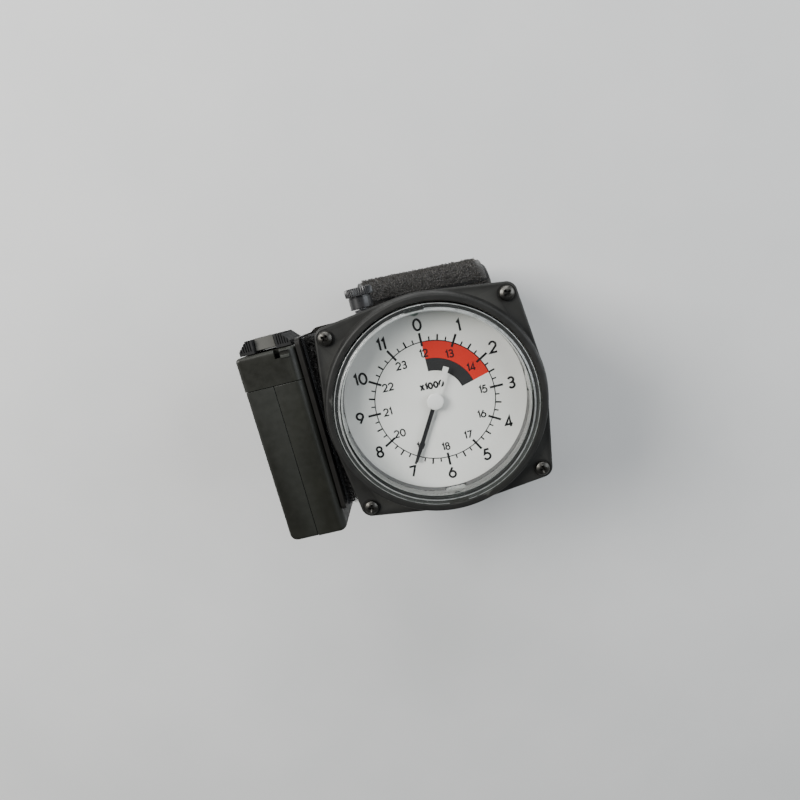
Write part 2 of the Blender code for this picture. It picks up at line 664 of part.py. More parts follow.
def make_bridge(model):
    """Upper bearing plate on three pillars."""
    plate = rod(BRIDGE_R, BRIDGE_BOTTOM, BRIDGE_TOP, 48)
    holes = [rod(ARBOR_R + 0.1, BRIDGE_BOTTOM - 1, BRIDGE_TOP + 1, 16),
             moved(rod(ARBOR_R + 0.1, BRIDGE_BOTTOM - 1, BRIDGE_TOP + 1, 16), TRANSFER_X),
             moved(rod(ARBOR_R + 0.1, BRIDGE_BOTTOM - 1, BRIDGE_TOP + 1, 16), SECTOR_X, SECTOR_Y)]
    model.part("movement_bridge", plate, BRASS, minus=holes)
    for number, degrees in enumerate(PILLAR_ANGLES, 1):
        angle = math.radians(degrees)
        place = (PILLAR_CIRCLE_R * math.cos(angle), PILLAR_CIRCLE_R * math.sin(angle), 0)
        pillar = turned([(0, CUP_FLOOR + GAP), (PILLAR_R, CUP_FLOOR + GAP), (PILLAR_R, CUP_FLOOR + 2),
                         (PILLAR_R - 0.4, CUP_FLOOR + 2.4), (PILLAR_R - 0.4, BRIDGE_BOTTOM - 2.4),
                         (PILLAR_R, BRIDGE_BOTTOM - 2), (PILLAR_R, BRIDGE_BOTTOM - GAP),
                         (0, BRIDGE_BOTTOM - GAP)], 16)
        model.part(f"bridge_pillar_{number}", pillar, BRASS, place)


def make_gear_train(model):
    """Sector, transfer wheel and pointer arbor, in mesh at rest."""
    half_pinion = 180 / PINION_TEETH
    wheel_top = WHEEL_HEIGHT + GEAR_THICK
    low = WHEEL_HEIGHT - (PINION_LENGTH - GEAR_THICK) / 2
    pinion = prism(gear_outline(PINION_TEETH, GEAR_MODULE, half_pinion), low, low + PINION_LENGTH)
    arbor = rod(ARBOR_R, ARBOR_BOTTOM, POINTER_HEIGHT - GAP, 16)
    model.part("pointer_arbor", arbor, STEEL, plus=[pinion])

    meeting = 180 + SECTOR_DIRECTION_DEG
    low = SECTOR_HEIGHT - (PINION_LENGTH - GEAR_THICK) / 2
    pinion = prism(gear_outline(PINION_TEETH, GEAR_MODULE, meeting), low, low + PINION_LENGTH)
    wheel = prism(gear_outline(WHEEL_TEETH, GEAR_MODULE), WHEEL_HEIGHT, wheel_top)
    arbor = rod(ARBOR_R, ARBOR_BOTTOM, ARBOR_TOP, 16)
    model.part("transfer_gear", arbor, BRASS, (TRANSFER_X, 0, 0), plus=[pinion, wheel])

    tip = GEAR_MODULE * (SECTOR_TEETH / 2 + 0.8)
    root = GEAR_MODULE * (SECTOR_TEETH / 2 - 1.1)
    pitch = 360 / SECTOR_TEETH
    blade = [(0, 0)]
    for k in range(SECTOR_FIRST, SECTOR_FIRST + SECTOR_COUNT):
        middle = SECTOR_DIRECTION_DEG + (k + 0.5) * pitch
        for radius, share in ((root, -0.24), (tip, -0.08), (tip, 0.08), (root, 0.24)):
            angle = math.radians(middle + share * pitch)
            blade.append((radius * math.cos(angle), radius * math.sin(angle)))
    top = SECTOR_HEIGHT + GEAR_THICK
    end = ARM_LENGTH + 1.4
    slot = ARM_LENGTH - 1.0
    side = ARM_WIDTH / 2
    gap = FORK_WIDTH / 2
    fork = [(-side, 0), (-side, -end), (-gap, -end), (-gap, -slot),
            (gap, -slot), (gap, -end), (side, -end), (side, 0)]
    arm = prism(fork, SECTOR_HEIGHT + 0.1, top - 0.1)
    hub = rod(2.4, SECTOR_HEIGHT - 0.6, top + 0.6, 20)
    arbor = rod(ARBOR_R, ARBOR_BOTTOM, ARBOR_TOP, 16)
    model.part("sector_gear", hub, BRASS, (SECTOR_X, SECTOR_Y, 0),
               plus=[prism(blade, SECTOR_HEIGHT, top), arm, arbor])


def make_bellows(model):
    """Aneroid bellows, the bracket at its fixed end and the rod at its moving end."""
    profile = [(0, 0), (BELLOWS_NECK_R, 0)]
    pitch = BELLOWS_LENGTH / BELLOWS_FOLDS
    for k in range(BELLOWS_FOLDS):
        for radius, share in ((BELLOWS_R, 0.3), (BELLOWS_R, 0.7), (BELLOWS_NECK_R, 1.0)):
            profile.append((radius, (k + share) * pitch))
    profile.append((0, BELLOWS_LENGTH))
    middle = SECTOR_HEIGHT + GEAR_THICK + 0.1
    place = (BELLOWS_START, ROD_Y, middle)
    model.part("bellows", turned_to(turned(profile, 20), "X"), STEEL, place)

    face = BELLOWS_START + BELLOWS_LENGTH + GAP
    upright = block(face, face + 1.2, ROD_Y - 3.5, ROD_Y + 3.5, CUP_FLOOR + GAP, middle + 4)
    foot = block(face - 4, face + 1.2, ROD_Y - 3.5, ROD_Y + 3.5, CUP_FLOOR + GAP, CUP_FLOOR + GAP + 0.3)
    model.part("bellows_bracket", upright, BRASS, plus=[foot])

    gap_to_bellows = 1.0
    disc_end = BELLOWS_START - gap_to_bellows
    disc = turned_to(rod(BELLOWS_NECK_R - 0.4, disc_end - 0.6, disc_end, 20), "X")
    moved(disc, 0, 0, middle - ROD_HEIGHT)
    bar = turned_to(rod(DRIVE_PIN_R + 0.1, SECTOR_X - 0.7, disc_end - 0.2, 12), "X")
    pin = moved(rod(DRIVE_PIN_R, SECTOR_HEIGHT - 0.4 - ROD_HEIGHT, 0.2, 12), SECTOR_X)
    model.part("bellows_rod", bar, STEEL, (0, ROD_Y, ROD_HEIGHT), plus=[disc, pin])


def make_pointer(model):
    """Black hand, and the white hub disc with its square-tipped tail."""
    low = POINTER_HEIGHT
    top = low + POINTER_THICK
    root = HAND_WIDTH / 2
    tip = HAND_TIP_WIDTH / 2
    narrowing = POINTER_R - HAND_TIP_LENGTH
    hand = [(-root, 0), (root, 0), (root, narrowing),
            (tip, POINTER_R), (-tip, POINTER_R), (-root, narrowing)]
    collar = turned([(0, low), (HUB_R - 0.6, low), (HUB_R - 0.6, top), (0, top)], 32)
    model.part("pointer_hand", prism(hand, low, top), BLACK, turn_deg=-POINTER_REST_DEG, plus=[collar])
    low = top + GAP
    disc = turned([(0, low), (HUB_R, low), (HUB_R, low + 0.5), (HUB_R - 0.3, low + 0.8),
                   (0, low + 0.9)], 40)
    top = low + POINTER_THICK
    start = FLAG_LENGTH - TAIL_R
    side = TAIL_WIDTH / 2
    bar = prism([(-side, -1), (-side, start - 0.2), (side, start - 0.2), (side, -1)], low, top)
    side = FLAG_WIDTH / 2
    flag = prism([(-side, start), (-side, -TAIL_R), (side, -TAIL_R), (side, start)], low, top)
    model.part("pointer_tail", disc, WHITE, turn_deg=-POINTER_REST_DEG, plus=[bar, flag])


# ---------------------------------------------------------------- battery box

def box_block(inset):
    """Whole outside of the battery box, its edges rounded."""
    bm = block(BOX_LEFT + inset, BOX_RIGHT, BOX_START + inset, BOX_END, -BOX_DEPTH + inset, -inset)
    right = BOX_RIGHT * MM

    def along_y(edge):
        direction = edge.verts[1].co - edge.verts[0].co
        return abs(direction.y) > 0.01

    def on_right(edge):
        return all(abs(vert.co.x - right) < 1e-6 for vert in edge.verts)

    bevelled(bm, BOX_ROUND, lambda edge: along_y(edge) and on_right(edge), 4)
    left = (BOX_LEFT + inset) * MM
    bevelled(bm, BOX_EDGE, lambda edge: all(abs(vert.co.x - left) < 1e-6 for vert in edge.verts), 2)
    return bm


def box_hollow():
    """Room for the battery."""
    return block(BOX_LEFT + BOX_WALL, BOX_RIGHT - BOX_WALL, BOX_START + BOX_WALL, SEAM_Y - BULKHEAD,
                 -BOX_DEPTH + BOX_WALL, -BOX_WALL)


def side_holes():
    """Cutters through the box's right wall for the case screws and the lead."""
    low, high = BOX_RIGHT - BOX_WALL - 1, BOX_RIGHT + 1
    lead_hole = moved(turned_to(rod(LEAD_R + GAP, low, high), "X"), 0, LEAD_Y, LEAD_HEIGHT)
    return case_screw_cutters(CASE_SCREW_R + GAP, low, high) + [lead_hole]


def make_battery_box(model):
    """Right half, end cap with the switch, and the left half that slides off towards -Y."""
    away = block(BOX_LEFT - 5, BOX_MIDDLE, BOX_START - 5, SEAM_Y + 1, -BOX_DEPTH - 5, 5)
    beyond = block(BOX_LEFT - 5, BOX_RIGHT + 5, SEAM_Y - GAP, BOX_END + 5, -BOX_DEPTH - 5, 5)
    wire_hole = turned_to(rod(WIRE_HOLE_R, SEAM_Y - BULKHEAD - 1, SEAM_Y + 1), "Y")
    moved(wire_hole, BOX_RIGHT - 4.5, 0, -BOX_DEPTH / 2)
    model.part("battery_case", box_block(0), OLIVE_BLACK,
               minus=[away, beyond, box_hollow(), wire_hole] + side_holes())

    half = block(BOX_LEFT - 5, BOX_RIGHT + 5, BOX_START - 5, SEAM_Y, -BOX_DEPTH - 5, 5)
    room = block(BOX_LEFT + BOX_WALL, BOX_RIGHT - BOX_WALL, SEAM_Y - 1, BOX_END - BOX_WALL,
                 -BOX_DEPTH + BOX_WALL, -BOX_WALL)
    side = SWITCH_HALF_WIDTH + GAP
    tall = SWITCH_HALF_HEIGHT + GAP
    window = block(BOX_MIDDLE - side, BOX_MIDDLE + side, BOX_END - BOX_WALL - 1, BOX_END + 1,
                   ROCKER_PIVOT_HEIGHT - tall, ROCKER_PIVOT_HEIGHT + tall)
    notch = block(BOX_RIGHT - 7.5, BOX_RIGHT - 5.5, BOX_END - 3.1, BOX_END + 1, -BOX_WALL - 1, 1)
    model.part("end_cap", box_block(0), OLIVE_BLACK, minus=[half, room, window, notch] + side_holes())

    keep = block(BOX_LEFT - 5, BOX_MIDDLE - GAP, BOX_START - 5, SEAM_Y - GAP, -BOX_DEPTH - 5, 5)
    open_end = block(BOX_LEFT + BOX_WALL, BOX_RIGHT, SEAM_Y - BULKHEAD - 1, SEAM_Y + 1,
                     -BOX_DEPTH + BOX_WALL, -BOX_WALL)
    model.part("battery_cover", box_block(COVER_INSET), OLIVE_BLACK,
               minus=[box_hollow(), open_end], common=[keep])


def make_battery(model):
    """9 V block with its two terminals, and the snap connector on them."""
    centre_x = BOX_MIDDLE
    centre_z = -BOX_DEPTH / 2
    start = BOX_START + BOX_WALL + 0.6
    end = start + BATTERY_LENGTH
    body = block(centre_x - BATTERY_WIDTH / 2, centre_x + BATTERY_WIDTH / 2, start, end,
                 centre_z - BATTERY_DEPTH / 2, centre_z + BATTERY_DEPTH / 2)
    bevelled(body, 1.5, lambda edge: abs((edge.verts[1].co - edge.verts[0].co).y) > 0.01, 2)
    posts = []
    for side, radius in ((-1, 2.8), (1, 3.6)):
        post = turned_to(rod(radius, end - 0.5, end + TERMINAL_HEIGHT, 20), "Y")
        posts.append(moved(post, centre_x, 0, centre_z + side * TERMINAL_SPACING / 2))
    model.part("battery", body, DARK_STEEL, plus=posts)

    low = end + TERMINAL_HEIGHT + GAP
    full = rounded_rectangle(-5.2, 5.2, -12, 12, 4)
    shrunk = rounded_rectangle(-4.7, 4.7, -11.5, 11.5, 3.6)
    snap = stack([(full, low), (full, low + SNAP_THICK - 0.5), (shrunk, low + SNAP_THICK)])
    model.part("battery_snap", moved(turned_to(snap, "Y"), centre_x, 0, centre_z), BLACK)


def make_switch(model):
    """Rocker between two ribbed guard cheeks, its block, and the inverter board."""
    low = GUARD_TOP - GUARD_HEIGHT
    start = BOX_END + GAP
    end = start + GUARD_LENGTH
    x0 = BOX_MIDDLE - GUARD_WIDTH / 2
    x1 = BOX_MIDDLE + GUARD_WIDTH / 2
    window = ROCKER_WIDTH / 2 + GAP
    frame = block(x0, x1, start, end, low, GUARD_TOP)
    slopes = []
    for side in (-1, 1):
        edge = BOX_MIDDLE + side * GUARD_WIDTH / 2
        beyond = edge + side
        inside = edge - side * 3
        wedge = [(edge, end - 3.2), (beyond, end - 3.2), (beyond, end + 1), (inside, end + 1), (inside, end)]
        slopes.append(prism(wedge, low - 1, GUARD_TOP + 1))
    grooves = []
    for side in (-1, 1):
        for k in range(3):
            x = BOX_MIDDLE + side * (window + 1.6 + 1.4 * k)
            grooves.append(block(x - 0.3, x + 0.3, end - 3.2, end + 1, GUARD_TOP - 0.6, GUARD_TOP + 1))
    opening = block(BOX_MIDDLE - window, BOX_MIDDLE + window, start - 1, end + 1, low + 1.6, GUARD_TOP + 1)
    model.part("switch_guard", frame, RUBBER, minus=[opening] + slopes + grooves)

    half = ROCKER_HALF
    side_view = [(0, -half), (1.4, -half), (1.7, 0), (ROCKER_RISE, half - 0.8),
                 (ROCKER_RISE, half), (0, half + 0.9)]
    wedge = prism(side_view, -ROCKER_WIDTH / 2, ROCKER_WIDTH / 2)
    spin = Matrix(((0, 0, 1), (1, 0, 0), (0, 1, 0)))
    bmesh.ops.rotate(wedge, verts=wedge.verts, cent=(0, 0, 0), matrix=spin)
    model.part("light_switch", wedge, GREY, (BOX_MIDDLE, start + 0.6, ROCKER_PIVOT_HEIGHT))

    inner = SEAM_Y + 2
    body = block(BOX_MIDDLE - SWITCH_HALF_WIDTH, BOX_MIDDLE + SWITCH_HALF_WIDTH,
                 inner, BOX_END - SWITCH_SET_BACK,
                 ROCKER_PIVOT_HEIGHT - SWITCH_HALF_HEIGHT, ROCKER_PIVOT_HEIGHT + SWITCH_HALF_HEIGHT)
    model.part("switch_block", body, BLACK)
    low = -BOX_DEPTH + BOX_WALL + 2
    board = block(BOX_LEFT + BOX_WALL + GAP, BOX_RIGHT - BOX_WALL - GAP, inner,
                  BOX_END - BOX_WALL - GAP, low, low + 1.2)
    coil = moved(rod(2.6, low + 1.0, low + 5, 16), BOX_MIDDLE - 4, inner + 4.2)
    chip = block(BOX_MIDDLE + 1, BOX_MIDDLE + 7, inner + 1.5, inner + 6, low + 1.0, low + 2.8)
    model.part("inverter_board", board, GREEN_BOARD, plus=[coil, chip])


# ---------------------------------------------------------------- bracket, pad and strap

def case_screw_cutters(extra, low, high):
    """Round cutters along +X at the two case screws."""
    return [moved(turned_to(rod(extra, low, high), "X"), 0, y, CASE_SCREW_HEIGHT)
            for y in (-CASE_SCREW_Y, CASE_SCREW_Y)]


def make_bracket(model):
    """Upright plate beside the housing, its foot under the back cover, and the fabric on it."""
    right = BRACKET_X + BRACKET_THICK
    upright = block(BRACKET_X, right, BRACKET_START, BRACKET_END, FOOT_BOTTOM, BRACKET_TOP)
    bevelled(upright, 2.5, lambda edge: abs((edge.verts[1].co - edge.verts[0].co).x) > 0.001
             and max(vert.co.z for vert in edge.verts) > -0.002, 4)
    outline = rounded_rectangle(BRACKET_X + 0.2, FOOT_LENGTH, -FOOT_LENGTH, FOOT_LENGTH, 4)
    foot = prism(outline, FOOT_BOTTOM, FOOT_TOP)
    cuts = case_screw_cutters(CASE_SCREW_R + GAP, BRACKET_X - 1, right + 1)
    cuts.append(moved(turned_to(rod(LEAD_R + GAP, BRACKET_X - 1, right + 1), "X"), 0, LEAD_Y, LEAD_HEIGHT))
    for x, y in CORNERS:
        low = FOOT_BOTTOM
        sink = turned([(0, low - 1), (SCREW_HEAD_R + GAP, low - 1), (SCREW_HEAD_R + GAP, low + 0.4),
                       (SCREW_SHAFT_R + GAP, low + 1.7), (SCREW_SHAFT_R + GAP, low + 3), (0, low + 3)], 16)
        cuts.append(moved(sink, SCREW_HALF * x, SCREW_HALF * y))
    model.part("bracket", upright, BLACK, plus=[foot], minus=cuts)

    liner = block(LINER_X, LINER_X + LINER_THICK, BRACKET_START + 1, BRACKET_END - 0.6,
                  FOOT_TOP + GAP, BRACKET_TOP - 3)
    cuts = case_screw_cutters(CASE_SCREW_HEAD_R + 0.6, LINER_X - 1, LINER_X + LINER_THICK + 1)
    cuts.append(moved(turned_to(rod(LEAD_R + GAP, LINER_X - 1, LINER_X + 3), "X"), 0, LEAD_Y, LEAD_HEIGHT))
    model.part("side_liner", liner, FABRIC, minus=cuts)

    for number, y in ((1, -CASE_SCREW_Y), (2, CASE_SCREW_Y)):
        start = BOX_RIGHT - BOX_WALL - GAP
        head = right + GAP
        screw = turned([(0, start), (CASE_SCREW_R, start), (CASE_SCREW_R, head), (CASE_SCREW_HEAD_R, head),
                        (CASE_SCREW_HEAD_R - 0.3, head + CASE_SCREW_HEAD_HEIGHT - 0.3),
                        (CASE_SCREW_HEAD_R - 1.2, head + CASE_SCREW_HEAD_HEIGHT),
                        (0, head + CASE_SCREW_HEAD_HEIGHT)], 16)
        model.part(f"case_screw_{number}", turned_to(screw, "X"), DARK_STEEL, (0, y, CASE_SCREW_HEIGHT))


def make_lead(model):
    """Short lead held from the box's end section to the housing, and its grommet."""
    lead = moved(turned_to(rod(LEAD_R, LEAD_START, LEAD_END, 12), "X"), 0, LEAD_Y, LEAD_HEIGHT)
    model.part("lead", lead, RUBBER)
    hole = LEAD_R + 0.1
    bush = turned([(hole, GROMMET_START), (GROMMET_R, GROMMET_START), (GROMMET_R, GROMMET_END),
                   (hole, GROMMET_END)], 24)
    model.part("grommet", moved(turned_to(bush, "X"), 0, LEAD_Y, LEAD_HEIGHT), RUBBER)


def loop_outline(grow):
    """Side view of the strap loop, (Y, height), grown outwards by grow."""
    low = STRAP_BOTTOM - grow
    top = STRAP_TOP + grow
    half = STRAP_HALF_LENGTH + grow
    upper = STRAP_TOP_ROUND + grow
    lower = STRAP_BOTTOM_ROUND + grow
    points = arc(half - upper, top - upper, upper, 0, 90, 9)
    points += arc(-half + upper, top - upper, upper, 90, 180, 9)
    points += arc(-half + lower, low + lower, lower, 180, 270, 11)
    points += arc(half - lower, low + lower, lower, 270, 360, 11)
    return points


def across(bm, centre_x):
    """Turn a solid built from a (Y, height) outline along +Z so that it lies across X."""
    spin = Matrix(((0, 0, 1), (1, 0, 0), (0, 1, 0)))
    bmesh.ops.rotate(bm, verts=bm.verts, cent=(0, 0, 0), matrix=spin)
    return moved(bm, centre_x)


def make_strap(model):
    """Closed wrist loop, and the outer layer pressed on over its +Y side."""
    half = STRAP_WIDTH / 2
    solid = across(prism(loop_outline(0), -half, half), STRAP_CENTRE_X)
    hollow = across(prism(loop_outline(-STRAP_THICK), -half - 1, half + 1), STRAP_CENTRE_X)
    model.part("strap_band", solid, FABRIC, minus=[hollow])

    centre = STRAP_HALF_LENGTH - STRAP_TOP_ROUND
    height = STRAP_TOP - STRAP_TOP_ROUND
    inner = STRAP_TOP_ROUND + GAP
    outer = inner + TAIL_THICK
    end = STRAP_TOP - TAIL_DROP
    band = [(centre + outer, end)] + arc(centre, height, outer, 0, 62, 7)
    band += arc(centre, height, inner, 62, 0, 7) + [(centre + inner, end)]
    model.part("strap_tail", across(prism(band, -half, half), STRAP_CENTRE_X + TAIL_SHIFT), FABRIC)


def make_pad(model):
    """Covered pad between the strap and the wrist."""
    left = BRACKET_X
    full = rounded_rectangle(left, PAD_RIGHT, -PAD_HALF_LENGTH, PAD_HALF_LENGTH, PAD_ROUND)
    half = PAD_HALF_LENGTH - 1
    shrunk = rounded_rectangle(left + 1, PAD_RIGHT - 1, -half, half, PAD_ROUND - 1)
    low = PAD_TOP - PAD_THICK
    pad = stack([(shrunk, low), (full, low + 1), (full, PAD_TOP - 1), (shrunk, PAD_TOP)])
    model.part("wrist_pad", pad, FABRIC)


def main():
    clear_scene()
    model = Model()
    make_bezel(model)
    make_screws(model)
    make_housing(model)
    make_lens(model)
    make_dial(model)
    make_back_cover(model)
    make_knob(model)
    make_cup(model)
    make_bridge(model)
    make_gear_train(model)
    make_bellows(model)
    make_pointer(model)
    make_battery_box(model)
    make_battery(model)
    make_switch(model)
    make_bracket(model)
    make_lead(model)
    make_strap(model)
    make_pad(model)


main()
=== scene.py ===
"""Wrist altimeter with a battery light box: fine meshes, materials, floor, lights and camera.

Shapes are written in millimetres in the instrument's own frame, whose origin is on the dial's
axis at the flat top of the bezel's ears. piece() turns them into metres in the row frame.
"""
import math
import random

import bmesh
import bpy
from mathutils import Matrix, Vector, noise


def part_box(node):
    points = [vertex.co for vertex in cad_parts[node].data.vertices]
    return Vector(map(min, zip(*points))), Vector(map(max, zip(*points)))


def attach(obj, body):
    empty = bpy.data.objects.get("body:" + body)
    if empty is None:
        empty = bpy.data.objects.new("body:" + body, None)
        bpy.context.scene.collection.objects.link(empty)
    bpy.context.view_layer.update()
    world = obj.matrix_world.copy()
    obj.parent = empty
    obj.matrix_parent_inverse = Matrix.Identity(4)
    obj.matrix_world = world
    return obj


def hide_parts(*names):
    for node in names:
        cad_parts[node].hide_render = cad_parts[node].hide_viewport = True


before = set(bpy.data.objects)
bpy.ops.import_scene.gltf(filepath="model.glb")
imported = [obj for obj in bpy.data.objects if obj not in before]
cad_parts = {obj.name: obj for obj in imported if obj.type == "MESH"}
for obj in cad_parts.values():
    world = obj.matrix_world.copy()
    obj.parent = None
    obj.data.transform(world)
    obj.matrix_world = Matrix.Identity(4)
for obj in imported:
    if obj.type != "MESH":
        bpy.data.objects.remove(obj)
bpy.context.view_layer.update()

MM = 0.001
BEZEL_LOW = -6.0
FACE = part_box("front_bezel")[0].z / MM - BEZEL_LOW       # height of the ears' top over the row's floor
TO_ROW = Matrix.Translation((0, 0, FACE * MM)) @ Matrix.Scale(MM, 4)


def corner(node):
    """Lowest and highest corner of a CAD node, in instrument millimetres."""
    low, high = (point / MM - Vector((0, 0, FACE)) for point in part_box(node))
    return low, high


def centre(node):
    """Middle of a CAD node, in instrument millimetres."""
    return [(least + most) / 2 for least, most in zip(*corner(node))]


# ---------------------------------------------------------------- outlines

def arc(x, y, radius, start, end, count):
    """Points along an arc, both ends included; angles in degrees."""
    points = []
    for k in range(count):
        angle = math.radians(start + (end - start) * k / (count - 1))
        points.append((x + radius * math.cos(angle), y + radius * math.sin(angle)))
    return points


def circle(radius, count, x=0.0, y=0.0):
    """Full circle."""
    return arc(x, y, radius, 0, 360 - 360 / count, count)


def rounded(x0, x1, y0, y1, radius, count=8):
    """Rectangle outline with round corners, anticlockwise."""
    points = []
    for x, y, start in ((x1 - radius, y0 + radius, -90), (x1 - radius, y1 - radius, 0),
                        (x0 + radius, y1 - radius, 90), (x0 + radius, y0 + radius, 180)):
        points += arc(x, y, radius, start, start + 90, count)
    return points


SCREW_HALF = 62.87 / 2
EAR_R = 3.9
RING_R = 39.2
CORNERS = ((1, 1), (-1, 1), (-1, -1), (1, -1))


def case_outline(inset=0.0):
    """Round ring joined to four corner ears by straight tangent edges."""
    reach = SCREW_HALF * math.sqrt(2)
    spread = math.degrees(math.acos((RING_R - EAR_R) / reach))
    points = []
    for diagonal in (45, 135, 225, 315):
        x = reach * math.cos(math.radians(diagonal))
        y = reach * math.sin(math.radians(diagonal))
        points += arc(x, y, EAR_R - inset, diagonal - spread, diagonal + spread, 25)
        points += arc(0, 0, RING_R - inset, diagonal + spread, diagonal + 90 - spread, 21)
    return points


def round_over(make, low, high, radius, count=6, bottom=True):
    """Layers of an outline whose top and bottom edges are rounded; make(inset) gives the outline."""
    layers = []
    turns = [90 * k / (count - 1) for k in range(count)]
    if bottom:
        for turn in turns:
            inset = radius * (1 - math.sin(math.radians(turn)))
            layers.append((make(inset), low + radius * (1 - math.cos(math.radians(turn)))))
    else:
        layers.append((make(0), low))
    for turn in turns:
        inset = radius * (1 - math.cos(math.radians(turn)))
        layers.append((make(inset), high - radius + radius * math.sin(math.radians(turn))))
    return layers


# ---------------------------------------------------------------- solids

def stack(layers, closed=True):
    """Closed solid through equal-length outlines at given heights."""
    bm = bmesh.new()
    rings = [[bm.verts.new((x, y, z)) for x, y in outline] for outline, z in layers]
    for low, high in zip(rings, rings[1:]):
        for k in range(len(low)):
            n = (k + 1) % len(low)
            bm.faces.new((low[k], low[n], high[n], high[k]))
    if closed:
        bm.faces.new(rings[0][::-1])
        bm.faces.new(rings[-1])
    bmesh.ops.recalc_face_normals(bm, faces=bm.faces)
    return bm


def prism(outline, low, high):
    """Straight solid between two heights."""
    return stack([(outline, low), (outline, high)])


def block(x0, x1, y0, y1, z0, z1):
    """Rectangular solid."""
    return prism([(x0, y0), (x1, y0), (x1, y1), (x0, y1)], z0, z1)


def turned(profile, steps=128, start=0.0, sweep=360.0):
    """Solid turned about Z from a closed (radius, height) outline, whole or part of the way."""
    whole = sweep >= 360
    count = steps if whole else steps + 1
    bm = bmesh.new()
    rows = []
    for radius, z in profile:
        if radius < 1e-6:
            rows.append([bm.verts.new((0, 0, z))] * count)
            continue
        row = []
        for k in range(count):
            angle = math.radians(start + sweep * k / steps)
            row.append(bm.verts.new((radius * math.cos(angle), radius * math.sin(angle), z)))
        rows.append(row)
    for low, high in zip(rows, rows[1:] + rows[:1]):
        for k in range(steps):
            n = (k + 1) % count
            corners = []
            for vert in (low[k], low[n], high[n], high[k]):
                if vert not in corners:
                    corners.append(vert)
            if len(corners) > 2:
                bm.faces.new(corners)
    if not whole:
        bm.faces.new([row[0] for row in rows])
        bm.faces.new([row[-1] for row in rows][::-1])
    bmesh.ops.recalc_face_normals(bm, faces=bm.faces)
    return bm


def rod(radius, low, high, steps=48):
    """Round bar along Z."""
    return prism(circle(radius, steps), low, high)


def moved(bm, x=0.0, y=0.0, z=0.0, turn=0.0):
    """Turn a mesh about Z by degrees, then shift it."""
    bm.transform(Matrix.Translation((x, y, z)) @ Matrix.Rotation(math.radians(turn), 4, "Z"))
    return bm


TO_X = Matrix(((0, 0, 1, 0), (0, 1, 0, 0), (-1, 0, 0, 0), (0, 0, 0, 1)))
TO_Y = Matrix(((1, 0, 0, 0), (0, 0, 1, 0), (0, -1, 0, 0), (0, 0, 0, 1)))
ACROSS = Matrix(((0, 0, 1, 0), (1, 0, 0, 0), (0, 1, 0, 0), (0, 0, 0, 1)))


def laid(bm, matrix):
    """Apply one of the axis turns above."""
    bm.transform(matrix)
    return bm


def settled(bm, name):
    """Mesh data made from a bmesh, which is used up."""
    mesh = bpy.data.meshes.new(name)
    bm.to_mesh(mesh)
    bm.free()
    return mesh


def linked(name, data):
    """New object in the scene."""
    ob = bpy.data.objects.new(name, data)
    bpy.context.scene.collection.objects.link(ob)
    return ob


def joined(*meshes):
    """Several meshes as one."""
    whole = bmesh.new()
    for bm in meshes:
        part = settled(bm, "part")
        whole.from_mesh(part)
        bpy.data.meshes.remove(part)
    return whole


def rounded_edges(bm, width, segments):
    """Round every edge."""
    bmesh.ops.bevel(bm, geom=list(bm.edges), offset=width, segments=segments, affect="EDGES", profile=0.5)
    return bm


def combined(bm, cuts=(), adds=(), common=()):
    """Mesh after exact booleans with other meshes."""
    base = linked("base", settled(bm, "base"))
    helpers = []
    for operation, solids in (("UNION", adds), ("DIFFERENCE", cuts), ("INTERSECT", common)):
        for solid in solids:
            helper = linked("helper", settled(solid, "helper"))
            modifier = base.modifiers.new("cut", "BOOLEAN")
            modifier.operation = operation
            modifier.solver = "EXACT"
            modifier.object = helper
            helpers.append(helper)
    depsgraph = bpy.context.evaluated_depsgraph_get()
    result = bmesh.new()
    result.from_mesh(base.evaluated_get(depsgraph).to_mesh())
    base.evaluated_get(depsgraph).to_mesh_clear()
    for ob in [base] + helpers:
        mesh = ob.data
        bpy.data.objects.remove(ob)
        bpy.data.meshes.remove(mesh)
    bmesh.ops.remove_doubles(result, verts=result.verts, dist=1e-4)
    bmesh.ops.dissolve_degenerate(result, edges=result.edges, dist=1e-4)
    return result


def piece(name, bm, material, replaces=(), body="altimeter", edge=0.0, sharp=35, weighted=True):
    """Object of the visual model that rides on a body."""
    bm.transform(TO_ROW)
    mesh = settled(bm, name)
    for one in material if isinstance(material, (list, tuple)) else [material]:
        mesh.materials.append(one)
    mesh.shade_smooth()
    mesh.set_sharp_from_angle(angle=math.radians(sharp))
    ob = linked(name, mesh)
    if edge:
        modifier = ob.modifiers.new("edges", "BEVEL")
        modifier.width = edge * MM
        modifier.segments = 2
        modifier.limit_method = "ANGLE"
        modifier.angle_limit = math.radians(40)
        modifier.miter_outer = "MITER_ARC"
        modifier.harden_normals = True
    if weighted:
        modifier = ob.modifiers.new("normals", "WEIGHTED_NORMAL")
        modifier.keep_sharp = True
    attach(ob, body)
    if replaces:
        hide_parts(*replaces)
    return ob


# ---------------------------------------------------------------- materials

